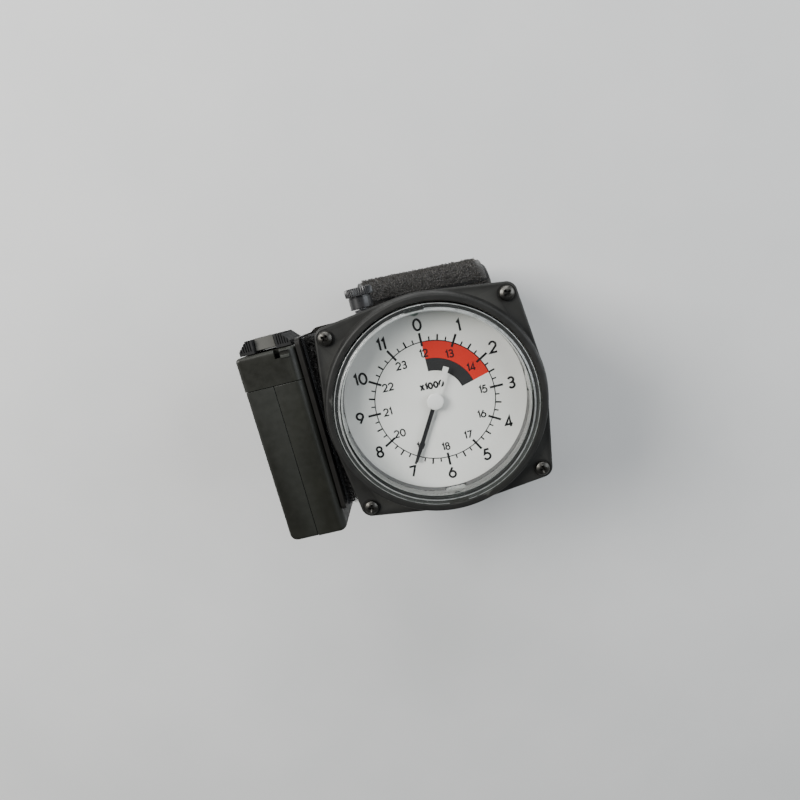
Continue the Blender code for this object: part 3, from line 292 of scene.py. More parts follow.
class Surface:
    """Material under construction: nodes read the object's own metre coordinates."""

    def __init__(self, name):
        self.material = bpy.data.materials.new(name)
        self.material.use_nodes = True
        self.tree = self.material.node_tree
        self.shader = self.tree.nodes["Principled BSDF"]
        self.place = self.tree.nodes.new("ShaderNodeTexCoord").outputs["Object"]

    def node(self, kind, settings=None, **inputs):
        """New node; keyword inputs are values or sockets, with _ for a space."""
        made = self.tree.nodes.new("ShaderNode" + kind)
        for key, value in (settings or {}).items():
            setattr(made, key, value)
        for key, value in inputs.items():
            name = int(key[1:]) if key[1:].isdigit() else key.replace("_", " ")
            self.put(made.inputs[name], value)
        return made

    def put(self, socket, value):
        """Set a socket to a value, or link it."""
        if isinstance(value, bpy.types.NodeSocket):
            self.tree.links.new(value, socket)
        else:
            socket.default_value = value

    def noise(self, size, detail=3.0, rough=0.55, vector=None):
        """Noise between 0 and 1 whose features are about size millimetres."""
        made = self.node("TexNoise", Vector=vector or self.place, Scale=1 / (size * MM), Detail=detail,
                         Roughness=rough)
        return made.outputs["Fac"]

    def ramp(self, factor, low, high, start=0.35, end=0.65):
        """Colour that goes from low to high as factor goes from start to end."""
        made = self.node("ValToRGB", Fac=factor)
        first, last = made.color_ramp.elements
        first.position, first.color = start, (*low, 1)
        last.position, last.color = end, (*high, 1)
        return made.outputs["Color"]

    def span(self, factor, low, high, start=0.3, end=0.7):
        """Number that goes from low to high as factor goes from start to end."""
        made = self.node("MapRange", Value=factor, From_Min=start, From_Max=end, To_Min=low, To_Max=high)
        return made.outputs["Result"]

    def maths(self, operation, *values):
        """Math node."""
        made = self.node("Math", {"operation": operation})
        for socket, value in zip(made.inputs, values):
            self.put(socket, value)
        return made.outputs["Value"]

    def mixed(self, factor, low, high):
        """Colour mix; low and high are sockets or colours."""
        made = self.node("Mix", {"data_type": "RGBA"})
        self.put(made.inputs["Factor"], factor)
        for name, value in (("A", low), ("B", high)):
            socket = next(s for s in made.inputs if s.name == name and s.type == "RGBA")
            given = isinstance(value, bpy.types.NodeSocket)
            self.put(socket, value if given else (*value, 1))
        return next(s for s in made.outputs if s.type == "RGBA")

    def bump(self, height, depth, below=None):
        """Bump of about depth millimetres, over another bump if given."""
        made = self.node("Bump", Height=height, Distance=depth * MM, Strength=1.0)
        if below:
            self.put(made.inputs["Normal"], below)
        return made.outputs["Normal"]

    def worn(self, start=0.52, end=0.6):
        """Mask for the painted edge highlight: 0 on flat ground, rising to 1 on convex edges."""
        point = self.node("NewGeometry").outputs["Pointiness"]
        return self.span(point, 0.0, 1.0, start, end)

    def done(self, **inputs):
        """Set the shader's sockets and give the material."""
        for key, value in inputs.items():
            self.put(self.shader.inputs[key.replace("_", " ")], value)
        return self.material


def moulded(name, dark, light, rough, grain=0.3, depth=0.015, edge=None, patch=9.0, sheen=0.5):
    """Moulded plastic: fine spark-eroded grain, faint mottling, and convex edges lightened by a painted
    highlight.
    """
    s = Surface(name)
    patches = s.noise(patch, 4)
    colour = s.ramp(patches, dark, light)
    speck = s.noise(grain * 0.6, 2, 0.7)
    colour = s.mixed(s.span(speck, 0.0, 0.45, 0.5, 0.8), colour, tuple(1.9 * c for c in light))
    # The edge colour mixed in on convex edges is a painted highlight.
    if edge:
        colour = s.mixed(s.worn(), colour, edge)
    fine = s.bump(s.noise(grain, 3, 0.65), depth)
    broad = s.bump(s.noise(grain * 7, 2), depth * 0.8, fine)
    return s.done(Base_Color=colour, Roughness=s.span(s.noise(grain * 12, 3), *rough), Normal=broad,
                  Specular_IOR_Level=sheen)


def metal(name, dark, light, rough, scratch=0.25, depth=0.004, along=(1, 1, 1), patch=4.0):
    """Metal with fine machining marks and slight tarnish."""
    s = Surface(name)
    stretched = s.node("Mapping", Vector=s.place, Scale=along).outputs["Vector"]
    marks = s.noise(scratch, 4, 0.6, stretched)
    colour = s.ramp(s.noise(patch, 4), dark, light)
    return s.done(Base_Color=colour, Metallic=1.0, Roughness=s.span(marks, *rough),
                  Normal=s.bump(marks, depth))


def cloth(name, dark, light, thread=0.7, depth=0.12, fuzz=0.12):
    """Woven synthetic cloth over the object's own coordinates, with a little fluff."""
    s = Surface(name)
    split = s.node("SeparateXYZ", Vector=s.place)
    step = math.tau / (thread * MM)
    waves = [s.maths("SINE", s.maths("MULTIPLY", split.outputs[axis], step)) for axis in "XYZ"]
    weave = s.maths("ADD", s.maths("MULTIPLY", waves[0], waves[1]), s.maths("MULTIPLY", waves[0], waves[2]))
    loose = s.noise(fuzz, 3, 0.7)
    height = s.maths("ADD", s.maths("MULTIPLY", weave, 0.35), loose)
    colour = s.ramp(s.maths("ADD", s.maths("MULTIPLY", weave, 0.2), s.noise(3.0, 3)), dark, light, 0.2, 0.9)
    return s.done(Base_Color=colour, Roughness=s.span(loose, 0.8, 0.97), Normal=s.bump(height, depth),
                  Sheen_Weight=0.35, Sheen_Roughness=0.5, Specular_IOR_Level=0.25)


def printed(name, colour, speck, rough=0.55):
    """Screen-printed ink: almost even, with pinholes and a soft edge of gloss."""
    s = Surface(name)
    shade = s.ramp(s.noise(0.25, 3, 0.7), colour, speck, 0.45, 0.85)
    return s.done(Base_Color=shade, Roughness=s.span(s.noise(0.6, 2), rough - 0.08, rough + 0.08),
                  Normal=s.bump(s.noise(0.12, 2), 0.003), Specular_IOR_Level=0.12)


def clear_plastic(name, tint, haze, rough, gloss=1.0):
    """Clear moulding: what is behind it, a Fresnel reflection on its outer faces, and a little haze."""
    s = Surface(name)
    s.tree.nodes.remove(s.shader)
    bump = s.bump(s.noise(5.0, 2), 0.002)
    through = s.node("BsdfTransparent", Color=(*tint, 1)).outputs[0]
    milk = s.node("BsdfDiffuse", Color=(0.62, 0.64, 0.63, 1), Normal=bump).outputs[0]
    shine = s.node("BsdfGlossy", Color=(1, 1, 1, 1), Roughness=rough, Normal=bump).outputs[0]
    clouded = s.span(s.noise(2.0, 3), haze * 0.7, haze * 1.3)
    body = s.node("MixShader", Fac=clouded, _1=through, _2=milk).outputs[0]
    fresnel = s.node("Fresnel", IOR=1.49).outputs[0]
    outer = s.maths("SUBTRACT", 1.0, s.node("NewGeometry").outputs["Backfacing"])
    amount = s.maths("MULTIPLY", s.maths("MULTIPLY", fresnel, outer), gloss)
    final = s.node("MixShader", Fac=amount, _1=body, _2=shine).outputs[0]
    output = next(n for n in s.tree.nodes if n.type == "OUTPUT_MATERIAL")
    s.tree.links.new(final, output.inputs["Surface"])
    return s.material


# In BEZEL, HOUSING, BOX, COVER, BLACK, GREY and PLATE, the colour after the bump depth paints a highlight
# on convex edges.
BEZEL = moulded("bezel_plastic", (0.0095, 0.0095, 0.0088), (0.0155, 0.0154, 0.0142), (0.46, 0.62), 0.3,
                0.024, (0.06, 0.06, 0.055), 9.0, 0.3)
HOUSING = moulded("housing_plastic", (0.0125, 0.0128, 0.013), (0.019, 0.0192, 0.0195), (0.52, 0.66), 0.35,
                  0.025, (0.045, 0.046, 0.046), 9.0, 0.4)
BOX = moulded("box_plastic", (0.0078, 0.0080, 0.0056), (0.0115, 0.0117, 0.0083), (0.36, 0.5), 0.22, 0.012,
              (0.035, 0.037, 0.032), 16.0, 0.32)
COVER = moulded("cover_plastic", (0.0070, 0.0072, 0.0052), (0.0105, 0.0107, 0.0078), (0.38, 0.52), 0.22,
                0.012, (0.032, 0.034, 0.030), 16.0, 0.32)
BLACK = moulded("black_plastic", (0.007, 0.007, 0.0075), (0.012, 0.012, 0.0125), (0.22, 0.38), 0.25, 0.006,
                (0.035, 0.035, 0.037))
GREY = moulded("grey_plastic", (0.034, 0.0335, 0.029), (0.05, 0.049, 0.043), (0.5, 0.66), 0.3, 0.014,
               (0.11, 0.108, 0.098), 9.0, 0.35)
PLATE = moulded("bracket_plate", (0.0055, 0.0054, 0.0052), (0.009, 0.0088, 0.0082), (0.34, 0.48), 0.3,
                0.006, (0.024, 0.022, 0.019), 9.0, 0.22)
RUBBER = moulded("rubber_black", (0.011, 0.011, 0.011), (0.018, 0.018, 0.018), (0.68, 0.85), 0.18, 0.012,
                 None, 5.0, 0.3)
DIAL = moulded("dial_white", (0.80, 0.80, 0.765), (0.85, 0.85, 0.82), (0.5, 0.6), 0.2, 0.002, None, 22.0)
HAND_BLACK = moulded("hand_black", (0.007, 0.007, 0.008), (0.012, 0.012, 0.013), (0.3, 0.42), 0.2, 0.003)
HAND_WHITE = moulded("hand_white", (0.76, 0.76, 0.73), (0.82, 0.82, 0.80), (0.35, 0.45), 0.3, 0.003)
FILM = moulded("panel_film", (0.50, 0.62, 0.55), (0.56, 0.68, 0.60), (0.35, 0.45), 0.3, 0.004)
BOARD = moulded("board_green", (0.012, 0.075, 0.030), (0.02, 0.12, 0.05), (0.3, 0.45), 0.4, 0.01)
SCREW = metal("screw_steel", (0.055, 0.053, 0.049), (0.115, 0.111, 0.102), (0.3, 0.46), 0.3, 0.006)
STEEL = metal("bright_steel", (0.46, 0.46, 0.47), (0.6, 0.6, 0.61), (0.18, 0.34))
BRASS = metal("movement_brass", (0.55, 0.40, 0.17), (0.72, 0.55, 0.27), (0.2, 0.38), 0.2, 0.003)
CAN = metal("battery_skin", (0.10, 0.10, 0.105), (0.16, 0.16, 0.165), (0.25, 0.4), 0.4, 0.004, (1, 0.06, 1))
INK_BLACK = printed("ink_black", (0.008, 0.008, 0.009), (0.03, 0.03, 0.03))
INK_RED = printed("ink_red", (0.66, 0.022, 0.012), (0.72, 0.05, 0.03), 0.5)
INK_DARK = printed("ink_dark", (0.022, 0.022, 0.023), (0.045, 0.045, 0.045))
CLEAR = clear_plastic("clear", (0.985, 0.988, 0.985), 0.004, 0.01, 1.0)
CLEAR_RIM = clear_plastic("clear_rim", (0.84, 0.86, 0.845), 0.022, 0.05, 1.6)
CLEAR_TAB = clear_plastic("clear_tab", (0.9, 0.92, 0.9), 0.3, 0.15, 1.3)
CLEAR_EDGE = clear_plastic("clear_edge", (0.9, 0.92, 0.91), 0.42, 0.12, 1.5)
PAD = cloth("pad_cloth", (0.010, 0.010, 0.011), (0.028, 0.028, 0.029), 0.55, 0.05)
HOOKS = moulded("hook_nylon", (0.008, 0.0075, 0.007), (0.075, 0.07, 0.064), (0.3, 0.5), 0.5, 0.01,
                None, 0.9)
# Pile colour: the fibre's own dark tone, made darker still so that the pile in the gap beside the housing
# paints the deep shade there.
PILE_AND_GAP_SHADE = cloth("pile_fibre_and_gap_shade", (0.004, 0.0038, 0.0037), (0.016, 0.015, 0.0145), 0.5, 0.03)


def paint(material, *nodes):
    """Give carried-over CAD nodes a material."""
    for node in nodes:
        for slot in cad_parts[node].material_slots:
            slot.material = material


# ---------------------------------------------------------------- bezel, housing and back

BORE_R = 35.7
RING_TOP = 4.0
HOUSING_TOP = -6.3
HOUSING_LOW = corner("housing_body")[0].z
BACK_LOW, BACK_TOP = (point.z for point in corner("back_cover"))
SCREW_HOLE_R = 1.6
CAVITY_R = 36.5
LEDGE_R = 33.0                # the dial sits on this ledge
LEDGE_LOW, LEDGE_TOP = -10.6, -8.8


def at_corners(make):
    """One mesh from make() at each of the four screw places."""
    return [moved(make(), SCREW_HALF * x, SCREW_HALF * y) for x, y in CORNERS]


def ring_profile():
    """Section of the raised ring: foot fillet, tapered outer wall, rounded top, chamfered bore."""
    outside = [(RING_R - 0.05, -1.5), (RING_R - 0.05, 0.0), (RING_R - 0.25, 0.22), (RING_R - 0.42, 0.6)]
    wall = [(RING_R - 0.5, 1.2), (RING_R - 0.68, 2.2), (RING_R - 1.0, 3.0)]
    crown = arc(RING_R - 2.0, RING_TOP - 1.0, 1.0, 12, 90, 7)
    bore = arc(BORE_R + 0.5, RING_TOP - 0.5, 0.5, 90, 180, 5)
    return outside + wall + crown + bore + [(BORE_R, -1.5)]


def make_bezel():
    """Flange with four ears, and the raised ring round the lens."""
    layers = round_over(case_outline, BEZEL_LOW, 0.0, 0.8, 7, bottom=False)
    layers = [(case_outline(0.25), BEZEL_LOW), (case_outline(0.0), BEZEL_LOW + 0.25)] + layers[1:]
    hole = rod(BORE_R - 0.002, BEZEL_LOW - 1, 1, 192)
    seats = at_corners(lambda: rod(3.15, -0.12, 1, 48))
    holes = at_corners(lambda: rod(SCREW_HOLE_R, BEZEL_LOW - 1, 1, 32))
    flange = combined(stack(layers), cuts=[hole] + seats + holes)
    ring = turned(ring_profile(), 192)
    piece("bezel", joined(flange, ring), BEZEL, ["front_bezel"], sharp=30)


def make_housing():
    """Case behind the bezel, and the cover that closes it."""
    layers = round_over(case_outline, HOUSING_LOW, HOUSING_TOP, 0.35, 4)
    hollow = turned([(0, HOUSING_LOW - 1), (CAVITY_R, HOUSING_LOW - 1), (CAVITY_R, LEDGE_LOW),
                     (LEDGE_R, LEDGE_LOW), (LEDGE_R, LEDGE_TOP), (BORE_R, LEDGE_TOP), (BORE_R, 0),
                     (0, 0)], 128)
    holes = at_corners(lambda: rod(SCREW_HOLE_R, HOUSING_LOW - 1, 0, 24))
    low, high = corner("knob_bushing")
    x, _, z = centre("knob_bushing")
    sleeve = moved(laid(rod((high.x - low.x) / 2 + 0.3, 25, 45, 32), TO_Y), x, 0, z)
    low, high = corner("grommet")
    _, y, z = centre("grommet")
    bush = moved(laid(rod((high.z - low.z) / 2 + 0.3, -45, -32.3, 32), TO_X), 0, y, z)
    body = combined(stack(layers), cuts=[hollow, sleeve, bush] + holes)
    piece("housing", body, HOUSING, ["housing_body"], sharp=30)
    layers = round_over(case_outline, BACK_LOW, BACK_TOP, 0.4, 4)
    socket = turned([(4.3, BACK_TOP - 0.5), (7, BACK_TOP - 0.5), (7, BACK_TOP + 1.6),
                     (4.3, BACK_TOP + 1.6)], 64)
    vents = [moved(rod(0.7, BACK_LOW - 1, BACK_TOP + 1, 24), 14 * math.cos(a), 14 * math.sin(a))
             for a in (0.4, 0.75, 1.1)]
    holes = at_corners(lambda: rod(SCREW_HOLE_R, BACK_LOW - 1, BACK_TOP + 1, 24))
    plate = combined(stack(layers), cuts=holes + vents)
    piece("back_plate", joined(plate, socket), HOUSING, ["back_cover"], sharp=30)


def cross(depth, top, reach=1.55, half=0.42):
    """Cross-head driver recess that narrows as it goes down."""
    cuts = []
    for turn in (0, 90):
        narrow = rounded(-reach * 0.35, reach * 0.35, -half * 0.55, half * 0.55, 0.1, 3)
        wide = rounded(-reach, reach, -half, half, 0.15, 3)
        slab = stack([(narrow, top - depth), (wide, top + 0.05), (wide, top + 1.0)])
        cuts.append(moved(slab, turn=turn))
    return cuts


def make_screws():
    """Pan heads on the ears, countersunk heads under the bracket's foot."""
    for number, (x, y) in enumerate(CORNERS, 1):
        node = f"bezel_screw_{number}"
        low, high = corner(node)
        radius = (high.x - low.x) / 2
        dome = [(radius, 0.05), (radius, 0.55)] + arc(radius - 0.75, 0.62, 0.75, 8, 70, 6)
        crown = [(radius * share, high.z - 0.28 * share * share) for share in (0.55, 0.35, 0.18, 0.0)]
        head = turned([(0, low.z), (1.3, low.z), (1.3, 0.05)] + dome + crown, 64)
        head = combined(head, cuts=cross(1.15, high.z))
        moved(head, SCREW_HALF * x, SCREW_HALF * y, 0, 20 * number + 12)
        piece(f"front_screw_{number}", head, SCREW, [node], edge=0.06, sharp=32)
        node = f"back_screw_{number}"
        low, high = corner(node)
        flat = turned([(0, low.z), (2.4, low.z), (2.6, low.z + 0.15), (1.3, low.z + 1.5), (1.3, high.z),
                       (0, high.z)], 48)
        sunk = [laid(cut, Matrix.Scale(-1, 4, (0, 0, 1))) for cut in cross(1.0, -low.z)]
        for cut in sunk:
            bmesh.ops.reverse_faces(cut, faces=cut.faces)
        flat = combined(flat, cuts=sunk)
        moved(flat, SCREW_HALF * x, SCREW_HALF * y, 0, 35 * number)
        piece(f"rear_screw_{number}", flat, SCREW, [node], sharp=32)


# ---------------------------------------------------------------- lens, spacer and seal

LENS_R = 35.1
LENS_FACE_R = 33.3
LENS_TOP = 6.0
LENS_RIM = 5.0
LENS_WALL_R = 33.0
LENS_UNDER = 2.6
LENS_LOW = -6.5
REBATE_R = 34.3
SPACER_TOP = -3.0


def make_lens():
    """Clear cup in one piece, with its top boss, rim slot and four tabs."""
    face = arc(LENS_FACE_R - 0.45, LENS_TOP - 0.45, 0.45, 0, 90, 6)
    under = arc(LENS_WALL_R - 0.8, LENS_UNDER - 0.8, 0.8, 90, 0, 6)
    cup = turned([(0, LENS_UNDER)] + under + [
        (LENS_WALL_R, SPACER_TOP + 0.3), (REBATE_R, SPACER_TOP + 0.3), (REBATE_R, LENS_LOW),
        (LENS_R, LENS_LOW), (LENS_R, -1.25), (LENS_R - 0.9, -1.25), (LENS_R - 0.9, 0.25), (LENS_R, 0.25),
        (LENS_R, LENS_RIM - 0.3),
        (LENS_R - 0.08, LENS_RIM - 0.08), (LENS_R - 0.3, LENS_RIM), (LENS_FACE_R + 0.35, LENS_RIM),
        (LENS_FACE_R + 0.1, LENS_RIM + 0.08)] + face + [(0, LENS_TOP)], 192)
    boss = stack(round_over(lambda inset: rounded(-3.6 + inset, 3.6 - inset, LENS_FACE_R - 0.4 + inset,
                                                  LENS_R - 0.2 - inset, 0.9 - inset, 8),
                            LENS_RIM - 0.5, LENS_TOP, 0.25, 5, bottom=False))
    recess = prism(rounded(-2.6, 2.6, LENS_FACE_R + 0.25, LENS_R - 0.85, 0.3), LENS_RIM - 0.2, LENS_TOP + 1)
    slot = block(-3.5, 3.5, -LENS_R - 1, -LENS_FACE_R - 0.4, 0.7, LENS_TOP + 1)
    tabs = []
    for quarter in range(4):
        tab = block(-3.5, 3.5, LENS_WALL_R + 0.05, REBATE_R + 0.4, -5.7, SPACER_TOP + 0.6)
        tabs.append(moved(tab, turn=90 * quarter))
    cup = combined(cup, adds=[boss] + tabs, cuts=[slot, recess])
    for face in cup.faces:
        middle = face.calc_center_median()
        radius = middle.xy.length
        on_face_edge = LENS_FACE_R - 0.46 < radius < LENS_FACE_R + 0.3 and middle.z > LENS_RIM
        on_outer_edge = radius > LENS_R - 0.32 and middle.z > LENS_RIM - 0.32
        on_inner_edge = LENS_WALL_R - 0.8 < radius < LENS_WALL_R - 0.05 and 0 < middle.z < LENS_UNDER - 0.02
        if radius < LENS_FACE_R - 0.5 and middle.z > 0 and not on_inner_edge:
            face.material_index = 0
        elif on_face_edge or on_outer_edge or on_inner_edge:
            face.material_index = 2
        elif middle.z < SPACER_TOP and LENS_WALL_R < radius < REBATE_R + 0.5:
            face.material_index = 3
        else:
            face.material_index = 1
    materials = [CLEAR, CLEAR_RIM, CLEAR_EDGE, CLEAR_TAB]
    piece("lens_cup", cup, materials, ["lens"], sharp=32)
    ring = turned([(LENS_WALL_R, LENS_LOW), (LENS_WALL_R + 1, LENS_LOW),
                   (LENS_WALL_R + 1, SPACER_TOP - 0.15), (LENS_WALL_R + 0.85, SPACER_TOP),
                   (LENS_WALL_R + 0.15, SPACER_TOP), (LENS_WALL_R, SPACER_TOP - 0.15)], 192)
    notches = [moved(block(-3.8, 3.8, LENS_WALL_R - 2, LENS_R, LENS_LOW + 0.5, SPACER_TOP + 1),
                     turn=90 * quarter) for quarter in range(4)]
    piece("spacer", combined(ring, cuts=notches), BLACK, ["dial_spacer"], sharp=32)
    high = corner("lens_seal")[1]
    section = circle(0.45, 16, high.x - 0.45, centre("lens_seal")[2])
    piece("seal", turned(section, 160), RUBBER, ["lens_seal"], weighted=False)


# ---------------------------------------------------------------- dial

DIAL_LOW, DIAL_TOP = (point.z for point in corner("dial"))
INK = 0.03                    # how far print stands over the dial


def digit_strokes(mark):
    """Centre lines of a character one unit high, and its width."""
    if mark == "0":
        return [arc_oval(0.33, 0.5, 0.33, 0.5)], 0.66
    if mark == "1":
        return [[(0.0, 0.80), (0.2, 1.0), (0.2, 0.0)]], 0.2
    if mark == "2":
        top = arc(0.3, 0.7, 0.3, 170, -38, 16)
        return [top + [(0.0, 0.0), (0.62, 0.0)]], 0.62
    if mark == "3":
        upper = arc(0.27, 0.755, 0.245, 155, -90, 15)
        lower = arc(0.27, 0.255, 0.265, 82, -158, 18)
        return [upper + lower], 0.54
    if mark == "4":
        return [[(0.46, 0.0), (0.46, 1.0), (0.0, 0.25), (0.66, 0.25)]], 0.66
    if mark == "5":
        bowl = arc(0.26, 0.32, 0.32, 128, -155, 18)
        return [[(0.54, 1.0), (0.16, 1.0)] + bowl], 0.58
    if mark in "69":
        ring = arc(0.31, 0.31, 0.31, 150, -210, 26)
        stem = [(0.42, 1.0), (0.042, 0.465)]
        strokes = [ring, stem]
        if mark == "9":
            strokes = [[(0.62 - x, 1.0 - y) for x, y in line] for line in strokes]
        return strokes, 0.62
    if mark == "7":
        return [[(0.0, 1.0), (0.58, 1.0), (0.18, 0.0)]], 0.58
    if mark == "8":
        upper = arc(0.29, 0.765, 0.235, 0, 360, 22)
        lower = arc(0.29, 0.265, 0.275, 0, 360, 24)
        return [upper, lower], 0.58
    return [[(0.0, 0.0), (0.6, 1.0)], [(0.0, 1.0), (0.6, 0.0)]], 0.6


def arc_oval(x, y, across, up):
    """Closed oval centre line."""
    return [(x + across * math.cos(t), y + up * math.sin(t))
            for t in (math.tau * k / 32 for k in range(33))]


def ribbon(line, width, low, high):
    """Closed flat ribbon along a centre line, with mitred corners."""
    closed = (Vector(line[0]) - Vector(line[-1])).length < 1e-6
    points = [Vector(p) for p in (line[:-1] if closed else line)]
    count = len(points)
    left, right = [], []
    for k, point in enumerate(points):
        before = points[k - 1] if closed or k else None
        after = points[(k + 1) % count] if closed or k < count - 1 else None
        into = (point - before).normalized() if before is not None else (after - point).normalized()
        out = (after - point).normalized() if after is not None else into
        along = (into + out).normalized()
        side = Vector((-along.y, along.x))
        reach = width / 2 / max(0.4, side.dot(Vector((-into.y, into.x))))
        left.append(point + side * reach)
        right.append(point - side * reach)
    bm = bmesh.new()
    rows = [[bm.verts.new((p.x, p.y, z)) for p in row] for row, z in
            ((left, low), (right, low), (right, high), (left, high))]
    for k in range(count if closed else count - 1):
        n = (k + 1) % count
        for a, b in ((0, 1), (1, 2), (2, 3), (3, 0)):
            bm.faces.new((rows[a][k], rows[b][k], rows[b][n], rows[a][n]))
    if not closed:
        bm.faces.new([row[0] for row in rows])
        bm.faces.new([row[-1] for row in rows][::-1])
    bmesh.ops.recalc_face_normals(bm, faces=bm.faces)
    return bm


def word(text, x, y, height, stroke, lift=0.0, gap=0.3, wide=1.0):
    """Characters centred on a point, as flat ribbons on the dial."""
    glyphs = [digit_strokes(mark) for mark in text]
    tall = height - stroke
    total = sum(width for _, width in glyphs) * tall * wide + gap * tall * (len(glyphs) - 1)
    pen = x - total / 2
    meshes = []
    for lines, width in glyphs:
        for order, line in enumerate(lines):
            placed = [(pen + px * tall * wide, y - tall / 2 + py * tall) for px, py in line]
            meshes.append(ribbon(placed, stroke, DIAL_TOP - 0.01, DIAL_TOP + INK + lift + 0.004 * order))
        pen += (width * wide + gap) * tall
    return joined(*meshes)


def plate(inner, outer, start, end, lift):
    """Printed arc between two radii, angles clockwise from the dial's 0."""
    steps = max(2, int((end - start) / 1.5))
    return turned([(inner, DIAL_TOP - 0.01), (outer, DIAL_TOP - 0.01), (outer, DIAL_TOP + lift),
                   (inner, DIAL_TOP + lift)], steps, 90 - end, end - start)


def tick(degrees, inner, outer, width):
    """Radial mark, clockwise from 0."""
    angle = math.radians(90 - degrees)
    way = (math.cos(angle), math.sin(angle))
    line = [(way[0] * inner, way[1] * inner), (way[0] * outer, way[1] * outer)]
    return ribbon(line, width, DIAL_TOP - 0.01, DIAL_TOP + INK + 0.012)


CIRCLE_R = 21.8
RED_INNER_R = 15.5
DARK_INNER_R = 11.0
ARC_END = 75.0
HOURS, TICKS = 12, 48
OUTER_NUMBERS_R, INNER_NUMBERS_R = 28.0, 17.7
SIGHT_R = 1.9                 # half width of the notch at the dial's top


def make_dial():
    """White disc with its print: scale circle, ticks, numbers and warning arc."""
    edge = BORE_R - 0.4
    disc = turned([(1.6, DIAL_LOW), (edge, DIAL_LOW), (edge, DIAL_TOP), (1.6, DIAL_TOP)], 160)
    sight = prism([(SIGHT_R, BORE_R + 1), (-SIGHT_R, BORE_R + 1)] + arc(0, 33.0, SIGHT_R, 180, 360, 33),
                  DIAL_LOW - 1, DIAL_TOP + 1)
    piece("dial_plate", combined(disc, cuts=[sight]), DIAL, ["dial"], sharp=32)
    marks = [plate(CIRCLE_R - 0.18, CIRCLE_R + 0.18, 0, 360, INK + 0.006)]
    quarter_hour = (CIRCLE_R, 23.3, 0.5)
    kinds = ((20.2, 25.0, 0.82), quarter_hour, (CIRCLE_R, 24.0, 0.62), quarter_hour)
    for k in range(TICKS):
        marks.append(tick(360 / TICKS * k, *kinds[k % 4]))
    for hour in range(HOURS):
        angle = math.radians(90 - 30 * hour)
        x, y = math.cos(angle), math.sin(angle)
        for number, radius, style in ((hour, OUTER_NUMBERS_R, (4.6, 0.78, 0.016, 0.27)),
                                      (hour + HOURS, INNER_NUMBERS_R, (3.05, 0.52, 0.02, 0.24))):
            marks.append(word(str(number), radius * x, radius * y, *style))
    marks.append(word("X1000", 0.1, 5.7, 2.65, 0.66, 0.024, 0.34))
    marks.append(plate(RED_INNER_R - 0.07, RED_INNER_R + 0.07, 0, ARC_END, INK + 0.002))
    piece("dial_marks", joined(*marks), INK_BLACK, sharp=30, weighted=False)
    piece("dial_red_arc", plate(RED_INNER_R, CIRCLE_R, 0, ARC_END, 0.014), INK_RED, weighted=False)
    piece("dial_dark_arc", plate(DARK_INNER_R, RED_INNER_R, 0, ARC_END, 0.016), INK_DARK,
          weighted=False)


HAND_REST = 210.0             # clockwise from 0


def make_pointer():
    """Black hand with a blunt tip; white hub disc with its thin tail and flag."""
    low, high = corner("pointer_hand")
    base, top = low.z, high.z
    root, tip = 0.74, 0.5
    outline = [(-root, 0), (root, 0), (root, 19), (tip, 23.9), (-tip, 23.9), (-root, 19)]
    hand = stack([(outline, base), (outline, top - 0.12),
                  ([(x * 0.92, min(y, 23.8)) for x, y in outline], top)])
    collar = turned([(0, base), (2.4, base), (2.4, top), (0, top)], 48)
    hand = joined(hand, moved(collar, 0, 0, -0.01))
    moved(hand, turn=-HAND_REST)
    piece("pointer_blade", hand, HAND_BLACK, ["pointer_hand"], "pointer", sharp=30)
    low, high = corner("pointer_tail")
    base, top = low.z, high.z
    rim = arc(2.65, top - 0.55, 0.35, 0, 80, 6)
    disc = turned([(0, base), (3.0, base)] + rim + [(1.6, top - 0.08), (0, top)], 64)
    bar = rounded_edges(block(-0.29, 0.29, -10.4, -2.6, base, base + 0.45), 0.08, 2)
    flag = rounded_edges(block(-1.0, 1.0, -13.1, -10.2, base - 0.005, base + 0.5), 0.1, 2)
    tail = moved(joined(disc, bar, flag), turn=-HAND_REST)
    piece("pointer_hub", tail, HAND_WHITE, ["pointer_tail"], "pointer", sharp=30)


# ---------------------------------------------------------------- setting knob and lead

KNOB_RIBS = 40


def make_knob():
    """Ribbed setting knob on its plain skirt."""
    low, high = corner("setting_knob")
    (x, _, z), start, end = centre("setting_knob"), low.y, high.y
    radius = (high.x - low.x) / 2
    skirt = radius - 0.8

    def ribbed(size, depth):
        points = []
        for k in range(KNOB_RIBS * 8):
            angle = math.tau * k / (KNOB_RIBS * 8)
            dip = depth * (0.5 - 0.5 * math.cos(KNOB_RIBS * angle)) ** 0.6
            points.append(((size - dip) * math.cos(angle), (size - dip) * math.sin(angle)))
        return points

    step = start + 4.6
    layers = [(ribbed(skirt - 0.8, 0), start), (ribbed(skirt - 0.25, 0), start + 0.05),
              (ribbed(skirt, 0), start + 0.3), (ribbed(skirt, 0), step - 0.6),
              (ribbed(skirt - 0.28, 0), step - 0.45), (ribbed(skirt - 0.28, 0), step - 0.1),
              (ribbed(radius - 0.5, 0), step),
              (ribbed(radius - 0.15, 0.15), step + 0.1), (ribbed(radius, 0.34), step + 0.3),
              (ribbed(radius, 0.34), end - 0.35), (ribbed(radius - 0.2, 0.25), end - 0.1),
              (ribbed(radius - 0.6, 0), end), (ribbed(radius - 1.5, 0), end),
              (ribbed(radius - 1.8, 0), end - 0.25), (ribbed(0.6, 0), end - 0.3)]
    knob = moved(laid(stack(layers), TO_Y), x, 0, z)
    piece("knob", knob, BLACK, ["setting_knob"], "knob", sharp=38)


